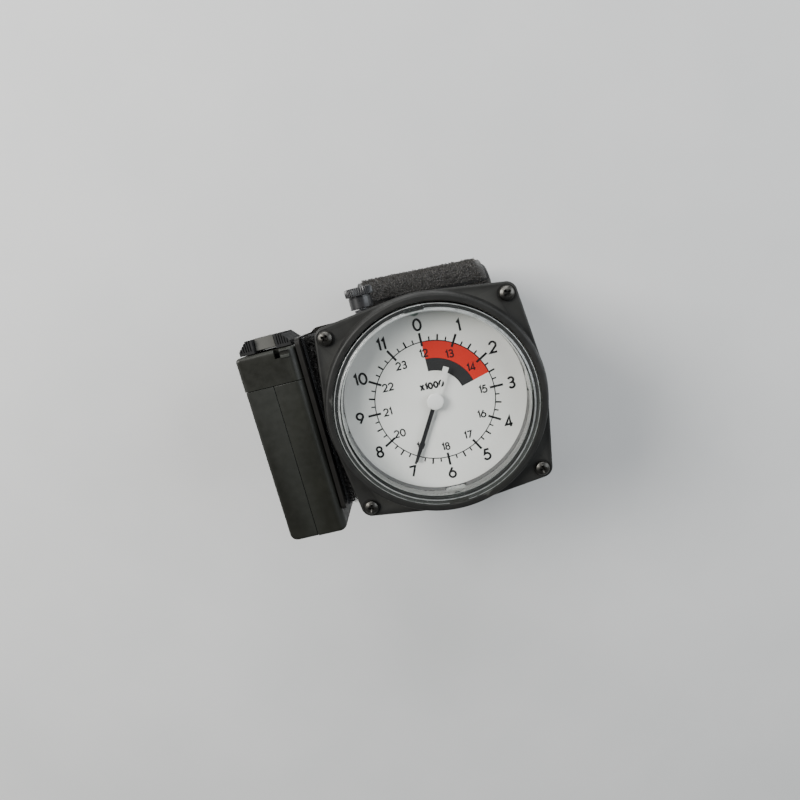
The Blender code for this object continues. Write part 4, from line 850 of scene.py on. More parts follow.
def make_lead():
    """Short lead held at both ends, and the grommet where it enters the housing."""
    low, high = corner("lead")
    (_, y, z), radius = centre("lead"), (high.z - low.z) / 2
    cable = moved(laid(rod(radius, low.x, high.x, 40), TO_X), 0, y, z)
    piece("lead_cable", cable, RUBBER, ["lead"], edge=0.15)
    low, high = corner("grommet")
    outer = (high.z - low.z) / 2
    bush = turned([(radius + 0.1, low.x), (outer - 0.3, low.x), (outer, low.x + 0.3), (outer, high.x - 0.2),
                   (outer - 0.2, high.x), (radius + 0.1, high.x)], 56)
    piece("lead_grommet", moved(laid(bush, TO_X), 0, y, z), RUBBER, ["grommet"])


# ---------------------------------------------------------------- battery box and switch

BOX_LEFT, BOX_RIGHT = corner("end_cap")[0].x, corner("end_cap")[1].x
BOX_START, BOX_END = corner("battery_case")[0].y, corner("end_cap")[1].y
BOX_DEPTH = 33.0
BOX_MIDDLE = (BOX_LEFT + BOX_RIGHT) / 2
BOX_WALL = 1.6
SEAM_Y = 19.9
RIGHT_ROUND = 3.0
OTHER_ROUND = 1.1


def box_section(inset, right, other):
    """Outline of the box, drawn in by right on its right side and by other on the rest."""
    x0, x1 = BOX_LEFT + inset + other, BOX_RIGHT - right
    y0, y1 = BOX_START + inset + other, BOX_END - other
    points = []
    for x, y, way, start, size in ((x1, y0, (-1, 1), -90, 1.3), (x1, y1, (-1, -1), 0, 1.3),
                                   (x0, y1, (1, -1), 90, 1.3), (x0, y0, (1, 1), 180, 2.6)):
        size = max(0.35, size - other * 0.6)
        points += arc(x + way[0] * size, y + way[1] * size, size, start, start + 90, 8)
    return points


def box_shell(inset):
    """Whole outside of the battery box: wide rounding on the right, small on the other sides."""
    depth = BOX_DEPTH - 2 * inset
    falls = [0, 0.04, 0.14, 0.32, 0.6, 1.1, 1.6, 2.2, 3.0]
    flat = (box_section(inset, RIGHT_ROUND + 0.5, OTHER_ROUND + 0.5), -inset)
    layers = []
    for fall in falls:
        pull = []
        for radius in (RIGHT_ROUND, OTHER_ROUND):
            rest = max(0.0, radius - fall)
            pull.append(radius - math.sqrt(radius * radius - rest * rest))
        layers.append((box_section(inset, *pull), -inset - fall))
    below = [(points, -2 * inset - depth - z) for points, z in [flat] + layers]
    return stack(below + (layers[::-1] + [flat]))


def box_room():
    """Room for the battery."""
    return block(BOX_LEFT + BOX_WALL, BOX_RIGHT - BOX_WALL, BOX_START + BOX_WALL, SEAM_Y - 1.5,
                 -BOX_DEPTH + BOX_WALL, -BOX_WALL)


def make_box():
    """Two halves of the battery box and its end section."""
    away = block(BOX_LEFT - 5, BOX_MIDDLE, BOX_START - 5, SEAM_Y + 1, -BOX_DEPTH - 5, 5)
    beyond = block(BOX_LEFT - 5, BOX_RIGHT + 5, SEAM_Y - 0.25, BOX_END + 5, -BOX_DEPTH - 5, 5)
    wires = moved(laid(rod(2.0, SEAM_Y - 3, SEAM_Y + 1, 32), TO_Y), BOX_RIGHT - 4.5, 0, -BOX_DEPTH / 2)
    rail = block(BOX_MIDDLE - 0.2, BOX_MIDDLE + 0.55, BOX_START + 3, SEAM_Y - 3,
                 -BOX_WALL - 0.35, -BOX_WALL + 0.3)
    case = combined(box_shell(0), cuts=[away, beyond, box_room(), wires])
    case = joined(case, rail)
    piece("box_case", case, BOX, ["battery_case"], edge=0.14, sharp=30)

    half = block(BOX_LEFT - 5, BOX_RIGHT + 5, BOX_START - 5, SEAM_Y, -BOX_DEPTH - 5, 5)
    room = block(BOX_LEFT + BOX_WALL, BOX_RIGHT - BOX_WALL, SEAM_Y - 1, BOX_END - BOX_WALL,
                 -BOX_DEPTH + BOX_WALL, -BOX_WALL)
    window = block(BOX_MIDDLE - 6.3, BOX_MIDDLE + 6.3, BOX_END - BOX_WALL - 1, BOX_END + 1, -20.3, -3.7)
    notch = block(BOX_RIGHT - 7.5, BOX_RIGHT - 5.5, BOX_END - 3.1, BOX_END + 1, -BOX_WALL - 1, 1)
    scoop = block(BOX_RIGHT - 5.5, BOX_RIGHT - 2.3, BOX_END - 1.9, BOX_END - 0.9, -0.55, 1)
    cap = combined(box_shell(0), cuts=[half, room, window, notch, scoop])
    lip = block(BOX_RIGHT - 5.4, BOX_RIGHT - 2.2, BOX_END - 3.4, BOX_END - 2.3, -0.3, 0.28)
    rounded_edges(lip, 0.2, segments=3)
    piece("box_end", joined(cap, lip), BOX, ["end_cap"], edge=0.14, sharp=30)

    keep = block(BOX_LEFT - 5, BOX_MIDDLE - 0.22, BOX_START - 5, SEAM_Y - 0.25, -BOX_DEPTH - 5, 5)
    open_end = block(BOX_LEFT + BOX_WALL, BOX_RIGHT, SEAM_Y - 3, SEAM_Y + 1,
                     -BOX_DEPTH + BOX_WALL, -BOX_WALL)
    cover = combined(box_shell(0.15), cuts=[box_room(), open_end], common=[keep])
    piece("box_cover", cover, COVER, ["battery_cover"], "cover", edge=0.14, sharp=30)


def make_battery():
    """9 V block in a plain sleeve, its terminals, and the snap connector."""
    low, high = corner("battery")
    end = high.y - 2.4
    z, half_x, half_z = centre("battery")[2], (high.x - low.x) / 2, (high.z - low.z) / 2

    def section(inset):
        return rounded(-half_x + inset, half_x - inset, -half_z + inset, half_z - inset, 1.7, 8)

    can = stack([(section(0.5), low.y), (section(0.05), low.y + 0.3), (section(0.05), low.y + 1.0),
                 (section(0.0), low.y + 1.05), (section(0.0), end - 1.2), (section(0.12), end - 1.1),
                 (section(0.12), end - 0.3), (section(0.6), end)])
    small = turned([(0, end - 0.3), (2.8, end - 0.3), (2.8, end + 0.4), (2.35, end + 0.6), (2.5, end + 2.1),
                    (2.2, end + 2.4), (0, end + 2.4)], 40)
    ring = [(3.6 * math.cos(a), 3.6 * math.sin(a)) for a in (math.tau * k / 6 for k in range(6))]
    large = stack([(ring, end - 0.3), (ring, end + 2.0),
                   ([(x * 0.86, y * 0.86) for x, y in ring], end + 2.4)])
    piece("battery_can", moved(laid(can, TO_Y), BOX_MIDDLE, 0, z), CAN, ["battery"])
    posts = joined(moved(laid(small, TO_Y), BOX_MIDDLE, 0, z - 6.35),
                   moved(laid(large, TO_Y), BOX_MIDDLE, 0, z + 6.35))
    piece("battery_posts", posts, STEEL, edge=0.1)
    low, high = corner("battery_snap")
    full, less = rounded(-5.2, 5.2, -12, 12, 4, 10), rounded(-4.7, 4.7, -11.5, 11.5, 3.6, 10)
    snap = stack([(less, low.y), (full, low.y + 0.25), (full, high.y - 0.5), (less, high.y)])
    piece("battery_clip", moved(laid(snap, TO_Y), BOX_MIDDLE, 0, z), BLACK, ["battery_snap"])


def make_switch():
    """Ribbed rubber cheeks and the sloping paddle between them."""
    low, high = corner("switch_guard")
    start, end, bottom, top = low.y, high.y, low.z, high.z
    window = 4.0
    outline = [(low.x, start), (high.x, start), (high.x, end - 3.2), (high.x - 3, end), (low.x + 3, end),
               (low.x, end - 3.2)]
    body = stack([(outline, bottom), (outline, top)])
    grooves = []
    for side in (-1, 1):
        for k in range(5):
            x = BOX_MIDDLE + side * (window + 0.95 + 0.85 * k)
            grooves.append(block(x - 0.2, x + 0.2, start + 1.0, end + 1, top - 0.7, top + 1))
            grooves.append(block(x - 0.2, x + 0.2, end - 0.55, end + 1, bottom + 1.5, top + 1))
    opening = block(BOX_MIDDLE - window, BOX_MIDDLE + window, start - 1, end + 1, bottom + 1.6, top + 1)
    body = combined(body, cuts=[opening] + grooves)
    piece("switch_cheeks", body, RUBBER, ["switch_guard"], edge=0.12, sharp=30)

    low, high = corner("light_switch")
    base, pivot = low.y, -12.0
    side_view = [(0, -7), (1.4, -7), (1.7, 0), (4.2, 6.2), (4.4, 6.6), (4.4, 7.0), (0, 7.9)]
    wide, narrow = 3.7, 3.35
    bm = bmesh.new()
    rows = []
    for side in (-1, 1):
        row = []
        for y, z in side_view:
            half = wide + (narrow - wide) * y / 4.4
            row.append(bm.verts.new((BOX_MIDDLE + side * half, base + y, pivot + z)))
        rows.append(row)
    count = len(side_view)
    for k in range(count):
        n = (k + 1) % count
        bm.faces.new((rows[0][k], rows[0][n], rows[1][n], rows[1][k]))
    bm.faces.new(rows[0][::-1])
    bm.faces.new(rows[1])
    bmesh.ops.recalc_face_normals(bm, faces=bm.faces)
    ridges = []
    for k in range(4):
        z = pivot + 1.2 + 1.25 * k
        y = base + 1.7 + 2.5 * (z - pivot) / 6.2
        ridges.append(laid(moved(rod(0.22, -2.6, 2.6, 12)), TO_X))
        moved(ridges[-1], BOX_MIDDLE, y + 0.02, z)
    rounded_edges(bm, 0.3, 3)
    piece("switch_paddle", joined(bm, *ridges), GREY, ["light_switch"], "switch", sharp=30)


# ---------------------------------------------------------------- bracket and liner

BRACKET_THICK = 1.6
CASE_SCREW_Y, CASE_SCREW_Z = 24.0, -20.0
LEAD_Y, LEAD_Z, LEAD_HOLE_R = 27.5, -12.0, 1.5


def side_cutters(screw_radius, low, high):
    """Cutters along X for the two box screws and the lead."""
    places = [(screw_radius, -CASE_SCREW_Y, CASE_SCREW_Z), (screw_radius, CASE_SCREW_Y, CASE_SCREW_Z),
              (LEAD_HOLE_R, LEAD_Y, LEAD_Z)]
    return [moved(laid(rod(radius, low - 1, high + 1, 24), TO_X), 0, y, z) for radius, y, z in places]


def make_bracket():
    """Upright plate with its foot, and the screws that hold the box to it."""
    low, high = corner("bracket")
    left, right = low.x, low.x + BRACKET_THICK
    start, end, bottom, top = -31.0, 34.0, low.z, high.z
    outline = arc(end - 2.5, top - 2.5, 2.5, 0, 90, 12) + arc(start + 2.5, top - 2.5, 2.5, 90, 180, 12)
    outline += [(start, bottom), (end, bottom)]
    upright = laid(prism(outline, left, right), ACROSS)
    foot = prism(rounded(left + 0.2, 35.4, -35.4, 35.4, 4, 10), bottom, bottom + BRACKET_THICK)
    sink = [(0, bottom - 1), (2.9, bottom - 1), (2.9, bottom + 0.4), (1.6, bottom + 1.7), (1.6, bottom + 3),
            (0, bottom + 3)]
    cuts = side_cutters(1.3, left, right) + at_corners(lambda: turned(sink, 32))
    upright = combined(upright, adds=[foot], cuts=cuts)
    piece("side_bracket", upright, PLATE, ["bracket"], edge=0.22, sharp=30)
    for number in (1, 2):
        node = f"case_screw_{number}"
        low, high = corner(node)
        _, y, z = centre(node)
        head = high.x - 1.3
        screw = turned([(0, low.x), (1.0, low.x), (1.0, head), (2.2, head), (2.2, head + 0.5),
                        (1.9, head + 0.95), (1.2, head + 1.2), (0, high.x)], 48)
        screw = combined(screw, cuts=cross(0.8, high.x, 1.2, 0.32))
        piece(f"box_screw_{number}", moved(laid(screw, TO_X), 0, y, z), SCREW, [node],
              sharp=32)


def thread(points, radius, sides=4, taper=1.0):
    """Thin tube along points: a list of vertices and faces, numbered from 0."""
    verts, faces = [], []
    last = len(points) - 1
    for k, point in enumerate(points):
        way = (points[min(k + 1, last)] - points[max(k - 1, 0)]).normalized()
        side = way.orthogonal().normalized()
        other = way.cross(side)
        size = radius * (1 + (taper - 1) * k / last)
        for n in range(sides):
            angle = math.tau * n / sides
            verts.append(point + (side * math.cos(angle) + other * math.sin(angle)) * size)
    for k in range(last):
        for n in range(sides):
            m = (n + 1) % sides
            faces.append((k * sides + n, k * sides + m, (k + 1) * sides + m, (k + 1) * sides + n))
    faces.append(tuple(range(sides))[::-1])
    faces.append(tuple(last * sides + n for n in range(sides)))
    return verts, faces


def threads(paths, radius, sides=4, taper=1.0):
    """One mesh of many thin tubes."""
    verts, faces = [], []
    for points in paths:
        base = len(verts)
        new_verts, new_faces = thread(points, radius, sides, taper)
        verts += new_verts
        faces += [tuple(base + k for k in face) for face in new_faces]
    mesh = bpy.data.meshes.new("threads")
    mesh.from_pydata([tuple(v) for v in verts], [], faces)
    bm = bmesh.new()
    bm.from_mesh(mesh)
    bpy.data.meshes.remove(mesh)
    return bm


def case_edge(y):
    """How far left the housing reaches at a given Y."""
    outline = case_outline()
    best = None
    for (x0, y0), (x1, y1) in zip(outline, outline[1:] + outline[:1]):
        if (y0 - y) * (y1 - y) <= 0 and abs(y1 - y0) > 1e-9:
            x = x0 + (x1 - x0) * (y - y0) / (y1 - y0)
            best = x if best is None else min(best, x)
    return -33.0 if best is None else best


def make_liner():
    """Backing strip, and the near-black pile that fills the gap beside the housing and paints the deep
    shade in that gap.
    """
    low, high = corner("side_liner")
    core = block(low.x, high.x, low.y, high.y, low.z, high.z)
    strip = combined(core, cuts=side_cutters(2.8, low.x, high.x))
    chance = random.Random(11)
    paths = []
    while len(paths) < 5200:
        y = chance.uniform(low.y, high.y)
        z = high.z - abs(chance.gauss(0, 3.5)) if chance.random() < 0.75 else chance.uniform(low.z, high.z)
        if z < low.z:
            continue
        room = case_edge(y) - 0.25 - high.x
        if room < 0.25 or (y - LEAD_Y) ** 2 + (z - LEAD_Z) ** 2 < 4:
            continue
        reach = chance.uniform(0.25, 1.0) * min(room, 4.0)
        start = Vector((high.x - 0.05, y, z))
        lean = Vector((0, chance.gauss(0, 0.5), chance.gauss(0.12, 0.45))) * reach
        bend = Vector((0, chance.gauss(0, 0.3), chance.gauss(0, 0.3)))
        points = []
        for share in (0.0, 0.35, 0.7, 1.0):
            points.append(start + Vector((reach * share, 0, 0)) + lean * share * share
                          + bend * math.sin(share * math.pi))
        if all(low.y - 0.4 < p.y < high.y + 0.5 and p.z < high.z + 1.2 for p in points):
            paths.append(points)
    piece("gap_liner", strip, PAD, ["side_liner"], edge=0.2, weighted=False)
    # The near-black pile in the gap is painted shade.
    piece("gap_pile_painted_shade", threads(paths, 0.075, 3, 0.5), PILE_AND_GAP_SHADE, weighted=False)


# ---------------------------------------------------------------- strap and pad

STRAP_TOP, STRAP_LOW = -31.5, -79.5
STRAP_HALF = 44.5
TOP_ROUND, LOW_ROUND = 12.5, 16.0
STRAP_THICK = 2.0
STRAP_WIDTH = 50.8
STRAP_X = 7.0
TAIL_SHIFT = -1.5
TAIL_THICK = 1.8
TAIL_START = 62.0             # degrees round the top bend where the outer layer begins
TAIL_END = -65.5
CASE_SIDE = 35.6              # the strap's top is hidden under the case as far as this


def evened(points, step=None, count=None):
    """Points at even spacing along a line: about step apart, or count spaces in all."""
    lengths = [0.0]
    for a, b in zip(points, points[1:]):
        lengths.append(lengths[-1] + (b - a).length)
    count = count or max(4, round(lengths[-1] / step))
    out = []
    at = 0
    for k in range(count + 1):
        goal = lengths[-1] * k / count
        while at < len(points) - 2 and lengths[at + 1] < goal:
            at += 1
        span = lengths[at + 1] - lengths[at]
        out.append(points[at].lerp(points[at + 1], (goal - lengths[at]) / span if span else 0.0))
    return out


def normals_of(line, closed):
    """Outward normals of an anticlockwise (Y, Z) line."""
    found = []
    last = len(line) - 1
    for k in range(len(line)):
        before = line[k - 1] if closed or k else line[k]
        after = line[(k + 1) % len(line)] if closed or k < last else line[k]
        way = (after - before).normalized()
        found.append(Vector((way.y, -way.x)))
    return found


def skew(x, y):
    """How far the +Y side of the strap leans out, more at its left edge."""
    if y < 20:
        return 0.0
    share = min(1.0, (y - 20) / 22)
    return share * 1.25 * (STRAP_X - x) / (STRAP_WIDTH / 2)


def on_strap(x, spot):
    """Place in space of a (Y, Z) spot at one X of the strap."""
    return Vector((x, spot.x + skew(x, spot.x), spot.y))


def webbing(line, closed, thick, centre, half):
    """Woven strip swept along a (Y, Z) line, with thicker rounded selvages. Gives a mesh with a UV map."""
    across = []
    columns = 44
    for k in range(columns + 1):
        across.append((-half + 2 * half * k / columns, 1.0))
    edge = [(turn, 0.5 + 0.5 * math.sin(turn)) for turn in map(math.radians, (60, 30, 0, -30, -60))]
    across += [(half + thick * 0.32 * math.cos(turn), share) for turn, share in edge]
    for k in range(columns + 1):
        across.append((half - 2 * half * k / columns, 0.0))
    across += [(-half - thick * 0.32 * math.cos(turn), share) for turn, share in edge[::-1]]
    normals = normals_of(line, closed)
    bm = bmesh.new()
    layer = bm.loops.layers.uv.new("weave")
    rows, places = [], []
    run = 0.0
    for k, (point, normal) in enumerate(zip(line, normals)):
        if k:
            run += (point - line[k - 1]).length
        row, row_places = [], []
        for n, (u, t) in enumerate(across):
            rough = 0.05 * noise.noise(Vector((u * 0.8, run * 0.8, t * 3)))
            swell = 0.22 * max(0.0, abs(u) / half - 0.9) / 0.1 * (1 if t == 1.0 else 0)
            pick = 0.07 * math.sin(run * math.tau / 1.5 + (u > 0) * 1.5) if abs(u) > half * 0.96 else 0.0
            raised = thick * (t - 1) + (rough + swell + pick) * (1 if t > 0.5 else -0.4)
            y, z = point.x + normal.x * raised, point.y + normal.y * raised
            x = centre + u + pick * 0.8
            row.append(bm.verts.new((x, y + skew(x, y), z)))
            row_places.append((u, run))
        rows.append(row)
        places.append(row_places)
    count = len(across)
    steps = len(line) if closed else len(line) - 1
    for k in range(steps):
        m = (k + 1) % len(line)
        wrap = (run + (line[0] - line[-1]).length) if m == 0 else None
        for n in range(count):
            o = (n + 1) % count
            face = bm.faces.new((rows[k][n], rows[k][o], rows[m][o], rows[m][n]))
            corners = (places[k][n], places[k][o], places[m][o], places[m][n])
            for loop, (u, v) in zip(face.loops, corners):
                loop[layer].uv = (u * MM, (wrap if wrap is not None and v == 0.0 and m == 0 else v) * MM)
    if not closed:
        bm.faces.new(rows[0][::-1])
        bm.faces.new(rows[-1])
    bmesh.ops.recalc_face_normals(bm, faces=bm.faces)
    return bm


def band_line():
    """(Y, Z) line of the strap's closed loop."""
    points = []
    for y, z, radius, start in ((STRAP_HALF, STRAP_TOP, TOP_ROUND, 0),
                                (-STRAP_HALF, STRAP_TOP, TOP_ROUND, 90),
                                (-STRAP_HALF, STRAP_LOW, LOW_ROUND, 180),
                                (STRAP_HALF, STRAP_LOW, LOW_ROUND, 270)):
        cy = y - math.copysign(radius, y)
        cz = z - radius if start < 180 else z + radius
        points += [Vector(p) for p in arc(cy, cz, radius, start, start + 90, 24)]
    points.append(points[0])
    return evened(points, 0.9)[:-1]


def tail_line():
    """(Y, Z) line of the outer layer, from its low end up round the top bend."""
    inner = TOP_ROUND + 0.3
    outer = inner + TAIL_THICK
    y, z = STRAP_HALF - TOP_ROUND, STRAP_TOP - TOP_ROUND
    points = [Vector((y + outer, TAIL_END)), Vector((y + outer, z))]
    points += [Vector(p) for p in arc(y, z, outer, 0, TAIL_START, 24)]
    return evened(points, 0.7)


def hook_paths(line, normals, centre, half, chosen, seed):
    """Small hooks standing in loose rows on a strip's outer face, clear of its selvages."""
    selvage = 1.9
    chance = random.Random(seed)
    paths = []
    count = int(2 * (half - selvage) / 0.92)
    for k, (point, normal) in enumerate(zip(line, normals)):
        if not chosen(point):
            continue
        along = Vector((-normal.y, normal.x))
        for n in range(count + 1):
            u = selvage - half + 2 * (half - selvage) * (n + 0.5 * (k % 2)) / count + chance.gauss(0, 0.17)
            if u > half - selvage + 0.4:
                continue
            tall = chance.choice((0.55, 0.8, 1.05, 1.25)) * chance.uniform(0.85, 1.15)
            way = chance.choice((-1, 1)) * chance.uniform(0.7, 1.2)
            slip = chance.gauss(0, 0.16)
            tilt = chance.gauss(0, 0.2)
            points = []
            for side, up in ((0, -0.15), (0.02, 0.5), (0.14, 0.86), (0.36, 1.0), (0.52, 0.8)):
                spot = point + normal * (up * tall) + along * (slip + tilt * up)
                x = centre + u + way * side
                points.append(on_strap(x, spot))
            paths.append(points)
    return paths


def fluff_paths(line, normals, centre, half, chosen, seed, number):
    """Crushed loops of soft pile on a strip's outer face."""
    chance = random.Random(seed)
    picked = [pair for pair in zip(line, normals) if chosen(pair[0])]
    paths = []
    for _ in range(number):
        point, normal = chance.choice(picked)
        along = Vector((-normal.y, normal.x))
        u = chance.uniform(-half + 0.4, half - 0.4)
        run, rise = chance.uniform(-0.5, 0.5), chance.uniform(0.25, 0.6)
        turn = chance.uniform(0, math.tau)
        points = []
        for k in range(5):
            angle = math.pi * k / 4
            reach = 0.45 * math.cos(angle)
            raised = rise * math.sin(angle)
            spot = point + normal * raised + along * (run + reach * math.sin(turn))
            x = centre + u + reach * math.cos(turn)
            points.append(on_strap(x, spot))
        paths.append(points)
    return paths


def woven(name, dark, light, pitch=1.0, depth=0.14):
    """Webbing: a plain weave over the strip's own map."""
    s = Surface(name)
    strip = s.node("UVMap", {"uv_map": "weave"}).outputs["UV"]
    split = s.node("SeparateXYZ", Vector=strip)
    step = math.tau / (pitch * MM)
    warp = s.maths("SINE", s.maths("MULTIPLY", split.outputs["X"], step))
    weft = s.maths("SINE", s.maths("MULTIPLY", split.outputs["Y"], step * 1.25))
    over = s.maths("MULTIPLY", warp, weft)
    loose = s.noise(0.16, 3, 0.7)
    height = s.maths("ADD", s.maths("MULTIPLY", over, 0.5), s.maths("MULTIPLY", loose, 0.6))
    tone = s.maths("ADD", s.maths("MULTIPLY", over, 0.22), s.noise(2.4, 3))
    colour = s.ramp(tone, dark, light, 0.2, 0.85)
    return s.done(Base_Color=colour, Roughness=s.span(loose, 0.78, 0.96), Normal=s.bump(height, depth),
                  Sheen_Weight=0.3, Sheen_Roughness=0.5, Specular_IOR_Level=0.25)


WEBBING = woven("webbing", (0.006, 0.0056, 0.0052), (0.02, 0.0187, 0.0175))


def make_strap():
    """Webbing loop and outer layer, with hooks outside and pile elsewhere."""
    half = STRAP_WIDTH / 2 - 0.5
    line = band_line()
    band = webbing(line, True, STRAP_THICK, STRAP_X, half)
    piece("strap_loop", band, WEBBING, ["strap_band"], sharp=60, weighted=False)
    tail = tail_line()
    strip = webbing(tail, False, TAIL_THICK, STRAP_X + TAIL_SHIFT, half)
    piece("strap_end", strip, WEBBING, ["strap_tail"], sharp=60, weighted=False)

    def on_top(point):
        x, y = point.x - (STRAP_HALF - TOP_ROUND), point.y - (STRAP_TOP - TOP_ROUND)
        past_tail = math.degrees(math.atan2(y, x)) > TAIL_START + 3
        beside_case = CASE_SIDE > point.x > CASE_SIDE - 2.1 and point.y > STRAP_TOP - 1
        return y > 0 and point.x > CASE_SIDE and past_tail or beside_case

    hooks = hook_paths(line, normals_of(line, True), STRAP_X, half, on_top, 3)
    hooks += hook_paths(tail, normals_of(tail, False), STRAP_X + TAIL_SHIFT, half, lambda p: True, 4)
    piece("strap_hooks", threads(hooks, 0.17, 5, 0.7), HOOKS, weighted=False)

    def elsewhere(point):
        return not on_top(point) and not (point.x > 30 and point.y > TAIL_END - 1) and \
            not (abs(point.x) < CASE_SIDE and point.y > STRAP_TOP - 1)

    soft = fluff_paths(line, normals_of(line, True), STRAP_X, half,
                       lambda p: elsewhere(p) and p.y > STRAP_LOW + 0.7, 5, 6500)
    piece("strap_pile", threads(soft, 0.07, 3), PILE_AND_GAP_SHADE, weighted=False)


def swollen(bm, voxel, pressure, cap):
    """Mesh after a short cloth run with air inside it; no point moves more than cap millimetres."""
    bm.transform(TO_ROW)
    mesh = settled(bm, "swell")
    ob = linked("swell", mesh)
    remesh = ob.modifiers.new("voxels", "REMESH")
    remesh.mode = "VOXEL"
    remesh.voxel_size = voxel * MM
    even = bpy.data.meshes.new_from_object(ob.evaluated_get(bpy.context.evaluated_depsgraph_get()))
    ob.modifiers.clear()
    ob.data = even
    start = [vert.co.copy() for vert in even.vertices]
    air = ob.modifiers.new("air", "CLOTH").settings
    air.use_pressure = True
    air.uniform_pressure_force = pressure
    air.effector_weights.gravity = 0
    for number in range(1, 21):
        bpy.context.scene.frame_set(number)
    blown = ob.evaluated_get(bpy.context.evaluated_depsgraph_get())
    ends = [vert.co.copy() for vert in blown.to_mesh().vertices]
    blown.to_mesh_clear()
    bpy.context.scene.frame_set(1)
    for vert, before, after in zip(even.vertices, start, ends):
        move = after - before
        vert.co = before + move * min(1.0, cap * MM / max(move.length, 1e-9))
    result = bmesh.new()
    result.from_mesh(even)
    result.transform(TO_ROW.inverted())
    bpy.data.objects.remove(ob)
    bpy.data.meshes.remove(mesh)
    bpy.data.meshes.remove(even)
    return result


PAD_CORNER = 6.0
CHANNEL = 4.3                 # from the pad's edge to its sewn channel


def edge_distance(x, y, low, high):
    """How far inside the pad's rounded outline a point is."""
    over_x = abs(x - (low.x + high.x) / 2) - (high.x - low.x) / 2 + PAD_CORNER
    over_y = abs(y - (low.y + high.y) / 2) - (high.y - low.y) / 2 + PAD_CORNER
    return PAD_CORNER - math.hypot(max(over_x, 0), max(over_y, 0)) - min(max(over_x, over_y), 0)


def make_pad():
    """Foam pad in a cloth cover: swollen faces, pulled-in sides, a sewn channel and a bound edge."""
    low, high = corner("wrist_pad")
    middle, thick = (low.z + high.z) / 2, (high.z - low.z) / 2

    def outline(inset):
        points = rounded(low.x + inset, high.x - inset, low.y + inset, high.y - inset,
                         max(1.2, PAD_CORNER - inset), 10)
        return evened([Vector(p) for p in points + points[:1]], count=240)[:-1]

    layers = round_over(lambda inset: [tuple(p) for p in outline(inset + 0.9)], middle - thick + 1.0,
                        middle + thick - 1.0, 0.9, 4)
    pad = swollen(stack(layers), 1.3, 4.0, 1.4)
    bmesh.ops.subdivide_edges(pad, edges=pad.edges, cuts=1, smooth=0.6, use_grid_fill=True)
    for vert in pad.verts:
        x, y, z = vert.co
        side = 1 if z > middle else -1
        inside = edge_distance(x, y, low, high)
        sunk = 0.75 * math.exp(-((inside - CHANNEL) / 0.75) ** 2)
        puckered = 0.12 * noise.noise(Vector((x * 0.9, y * 0.9, side)))
        puckered *= math.exp(-abs(inside - CHANNEL) / 2.5)
        creased = 0.22 * noise.noise(Vector((x * 0.2, y * 0.2, side * 3)))
        z -= side * (sunk + puckered + abs(creased))
        vert.co = (min(max(x, low.x), high.x), min(max(y, low.y), high.y), min(max(z, low.z), high.z))
    cover = piece("pad_cover", pad, PAD, ["wrist_pad"], sharp=60, weighted=False)
    seam = [Vector((p.x, p.y, middle)) for p in outline(0.55)]
    binding = threads([seam + seam[:2]], 0.5, 8)
    piece("pad_binding", binding, PAD, sharp=60, weighted=False)
    loop = outline(CHANNEL)
    stitches = []
    for a, b in zip(loop[::2], loop[1::2]):
        ends = [Vector((a.x, a.y, low.z + 0.85)), Vector((b.x, b.y, low.z + 0.85))]
        stitches.append([ends[0], ends[0].lerp(ends[1], 0.5) - Vector((0, 0, 0.12)), ends[1]])
    piece("pad_stitches", threads(stitches, 0.13, 5), HOOKS, weighted=False)


# ---------------------------------------------------------------- carried-over parts

def paint_inside():
    """Materials for the CAD nodes that are kept as they are."""
    paint(BLACK, "knob_bushing")
    paint(BRASS, "movement_cup", "movement_bridge", "bridge_pillar_1", "bridge_pillar_2",
          "bridge_pillar_3", "transfer_gear", "sector_gear", "bellows_bracket")
    paint(STEEL, "knob_shaft", "pointer_arbor", "bellows", "bellows_rod")
    paint(FILM, "light_panel")
    paint(BLACK, "switch_block")
    paint(BOARD, "inverter_board")


# ---------------------------------------------------------------- floor, lights and camera

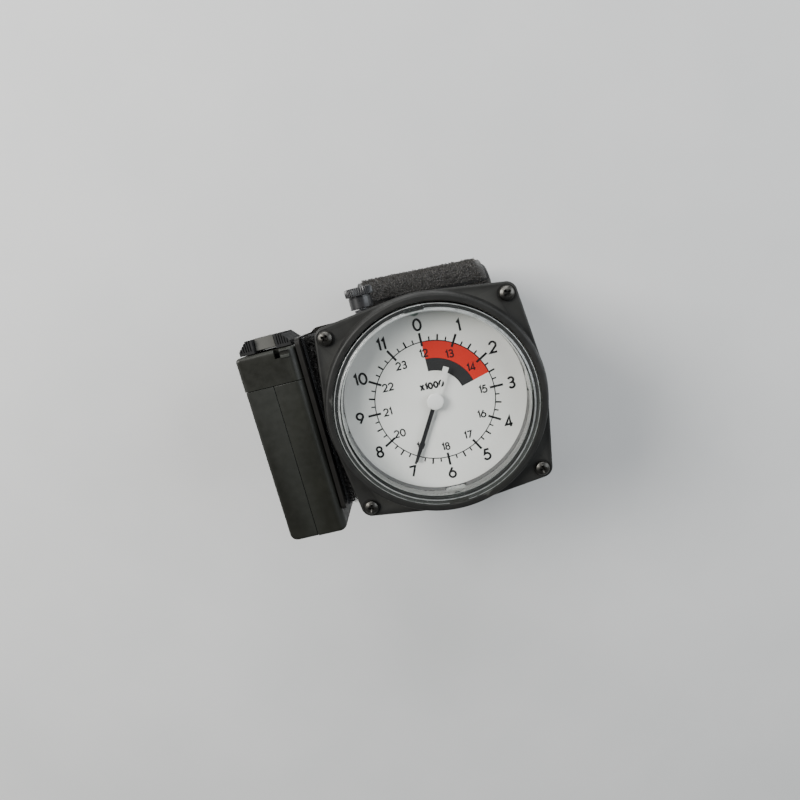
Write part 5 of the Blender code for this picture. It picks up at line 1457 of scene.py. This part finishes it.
def make_floor():
    """Pale paper floor."""
    mesh = bpy.data.meshes.new("floor")
    size = 3.0
    mesh.from_pydata([(-size, -size, 0), (size, -size, 0), (size, size, 0), (-size, size, 0)], [],
                     [(0, 1, 2, 3)])
    ob = linked("floor", mesh)
    s = Surface("floor_paper")
    tone = s.ramp(s.noise(60, 3), (0.66, 0.665, 0.66), (0.69, 0.69, 0.685))
    mesh.materials.append(s.done(Base_Color=tone, Roughness=0.7, Normal=s.bump(s.noise(0.8, 3), 0.02)))


def lamp(name, place, target, size, power, colour=(1, 1, 1)):
    """Rectangular area lamp turned to a target."""
    light = bpy.data.lights.new(name, "AREA")
    light.shape = "RECTANGLE"
    light.size, light.size_y = size
    light.energy = power
    light.color = colour
    ob = linked(name, light)
    ob.location = place
    ob.rotation_euler = (Vector(target) - Vector(place)).to_track_quat("-Z", "Y").to_euler()


def make_lights():
    """Three soft lamps and a dim even sky."""
    target = (-0.01, 0.0, 0.07)
    lamp("key", (-0.75, 0.5, 0.75), target, (0.5, 0.5), 17.0, (1.0, 0.985, 0.955))
    lamp("fill", (0.95, 0.1, 0.62), target, (0.7, 1.0), 9.0, (0.90, 0.95, 1.0))
    lamp("back", (0.1, 0.9, 0.55), target, (0.8, 0.25), 6.0, (0.97, 0.985, 1.0))
    world = bpy.data.worlds.new("studio")
    world.use_nodes = True
    world.node_tree.nodes["Background"].inputs["Color"].default_value = (0.75, 0.78, 0.8, 1)
    world.node_tree.nodes["Background"].inputs["Strength"].default_value = 0.22
    bpy.context.scene.world = world


def make_camera():
    """Camera at the angle of view that the object is known from."""
    forward = Vector((-0.0609, -0.1910, -0.9797)).normalized()
    up = Vector((0.2344, 0.9513, -0.2001))
    up = (up - forward * up.dot(forward)).normalized()
    right = forward.cross(up)
    camera = bpy.data.cameras.new("camera")
    camera.lens = 23.4
    camera.sensor_width = 36.0
    camera.clip_start = 0.01
    ob = linked("camera", camera)
    turn = Matrix((right, up, -forward)).transposed().to_4x4()
    ob.matrix_world = Matrix.Translation(TO_ROW @ Vector((-0.82, 39.22, 177.68))) @ turn
    bpy.context.scene.camera = ob


make_camera()
make_floor()
make_lights()
make_bezel()
make_housing()
make_screws()
make_lens()
make_dial()
make_pointer()
make_knob()
make_lead()
make_box()
make_battery()
make_switch()
make_bracket()
make_liner()
make_strap()
make_pad()
paint_inside()
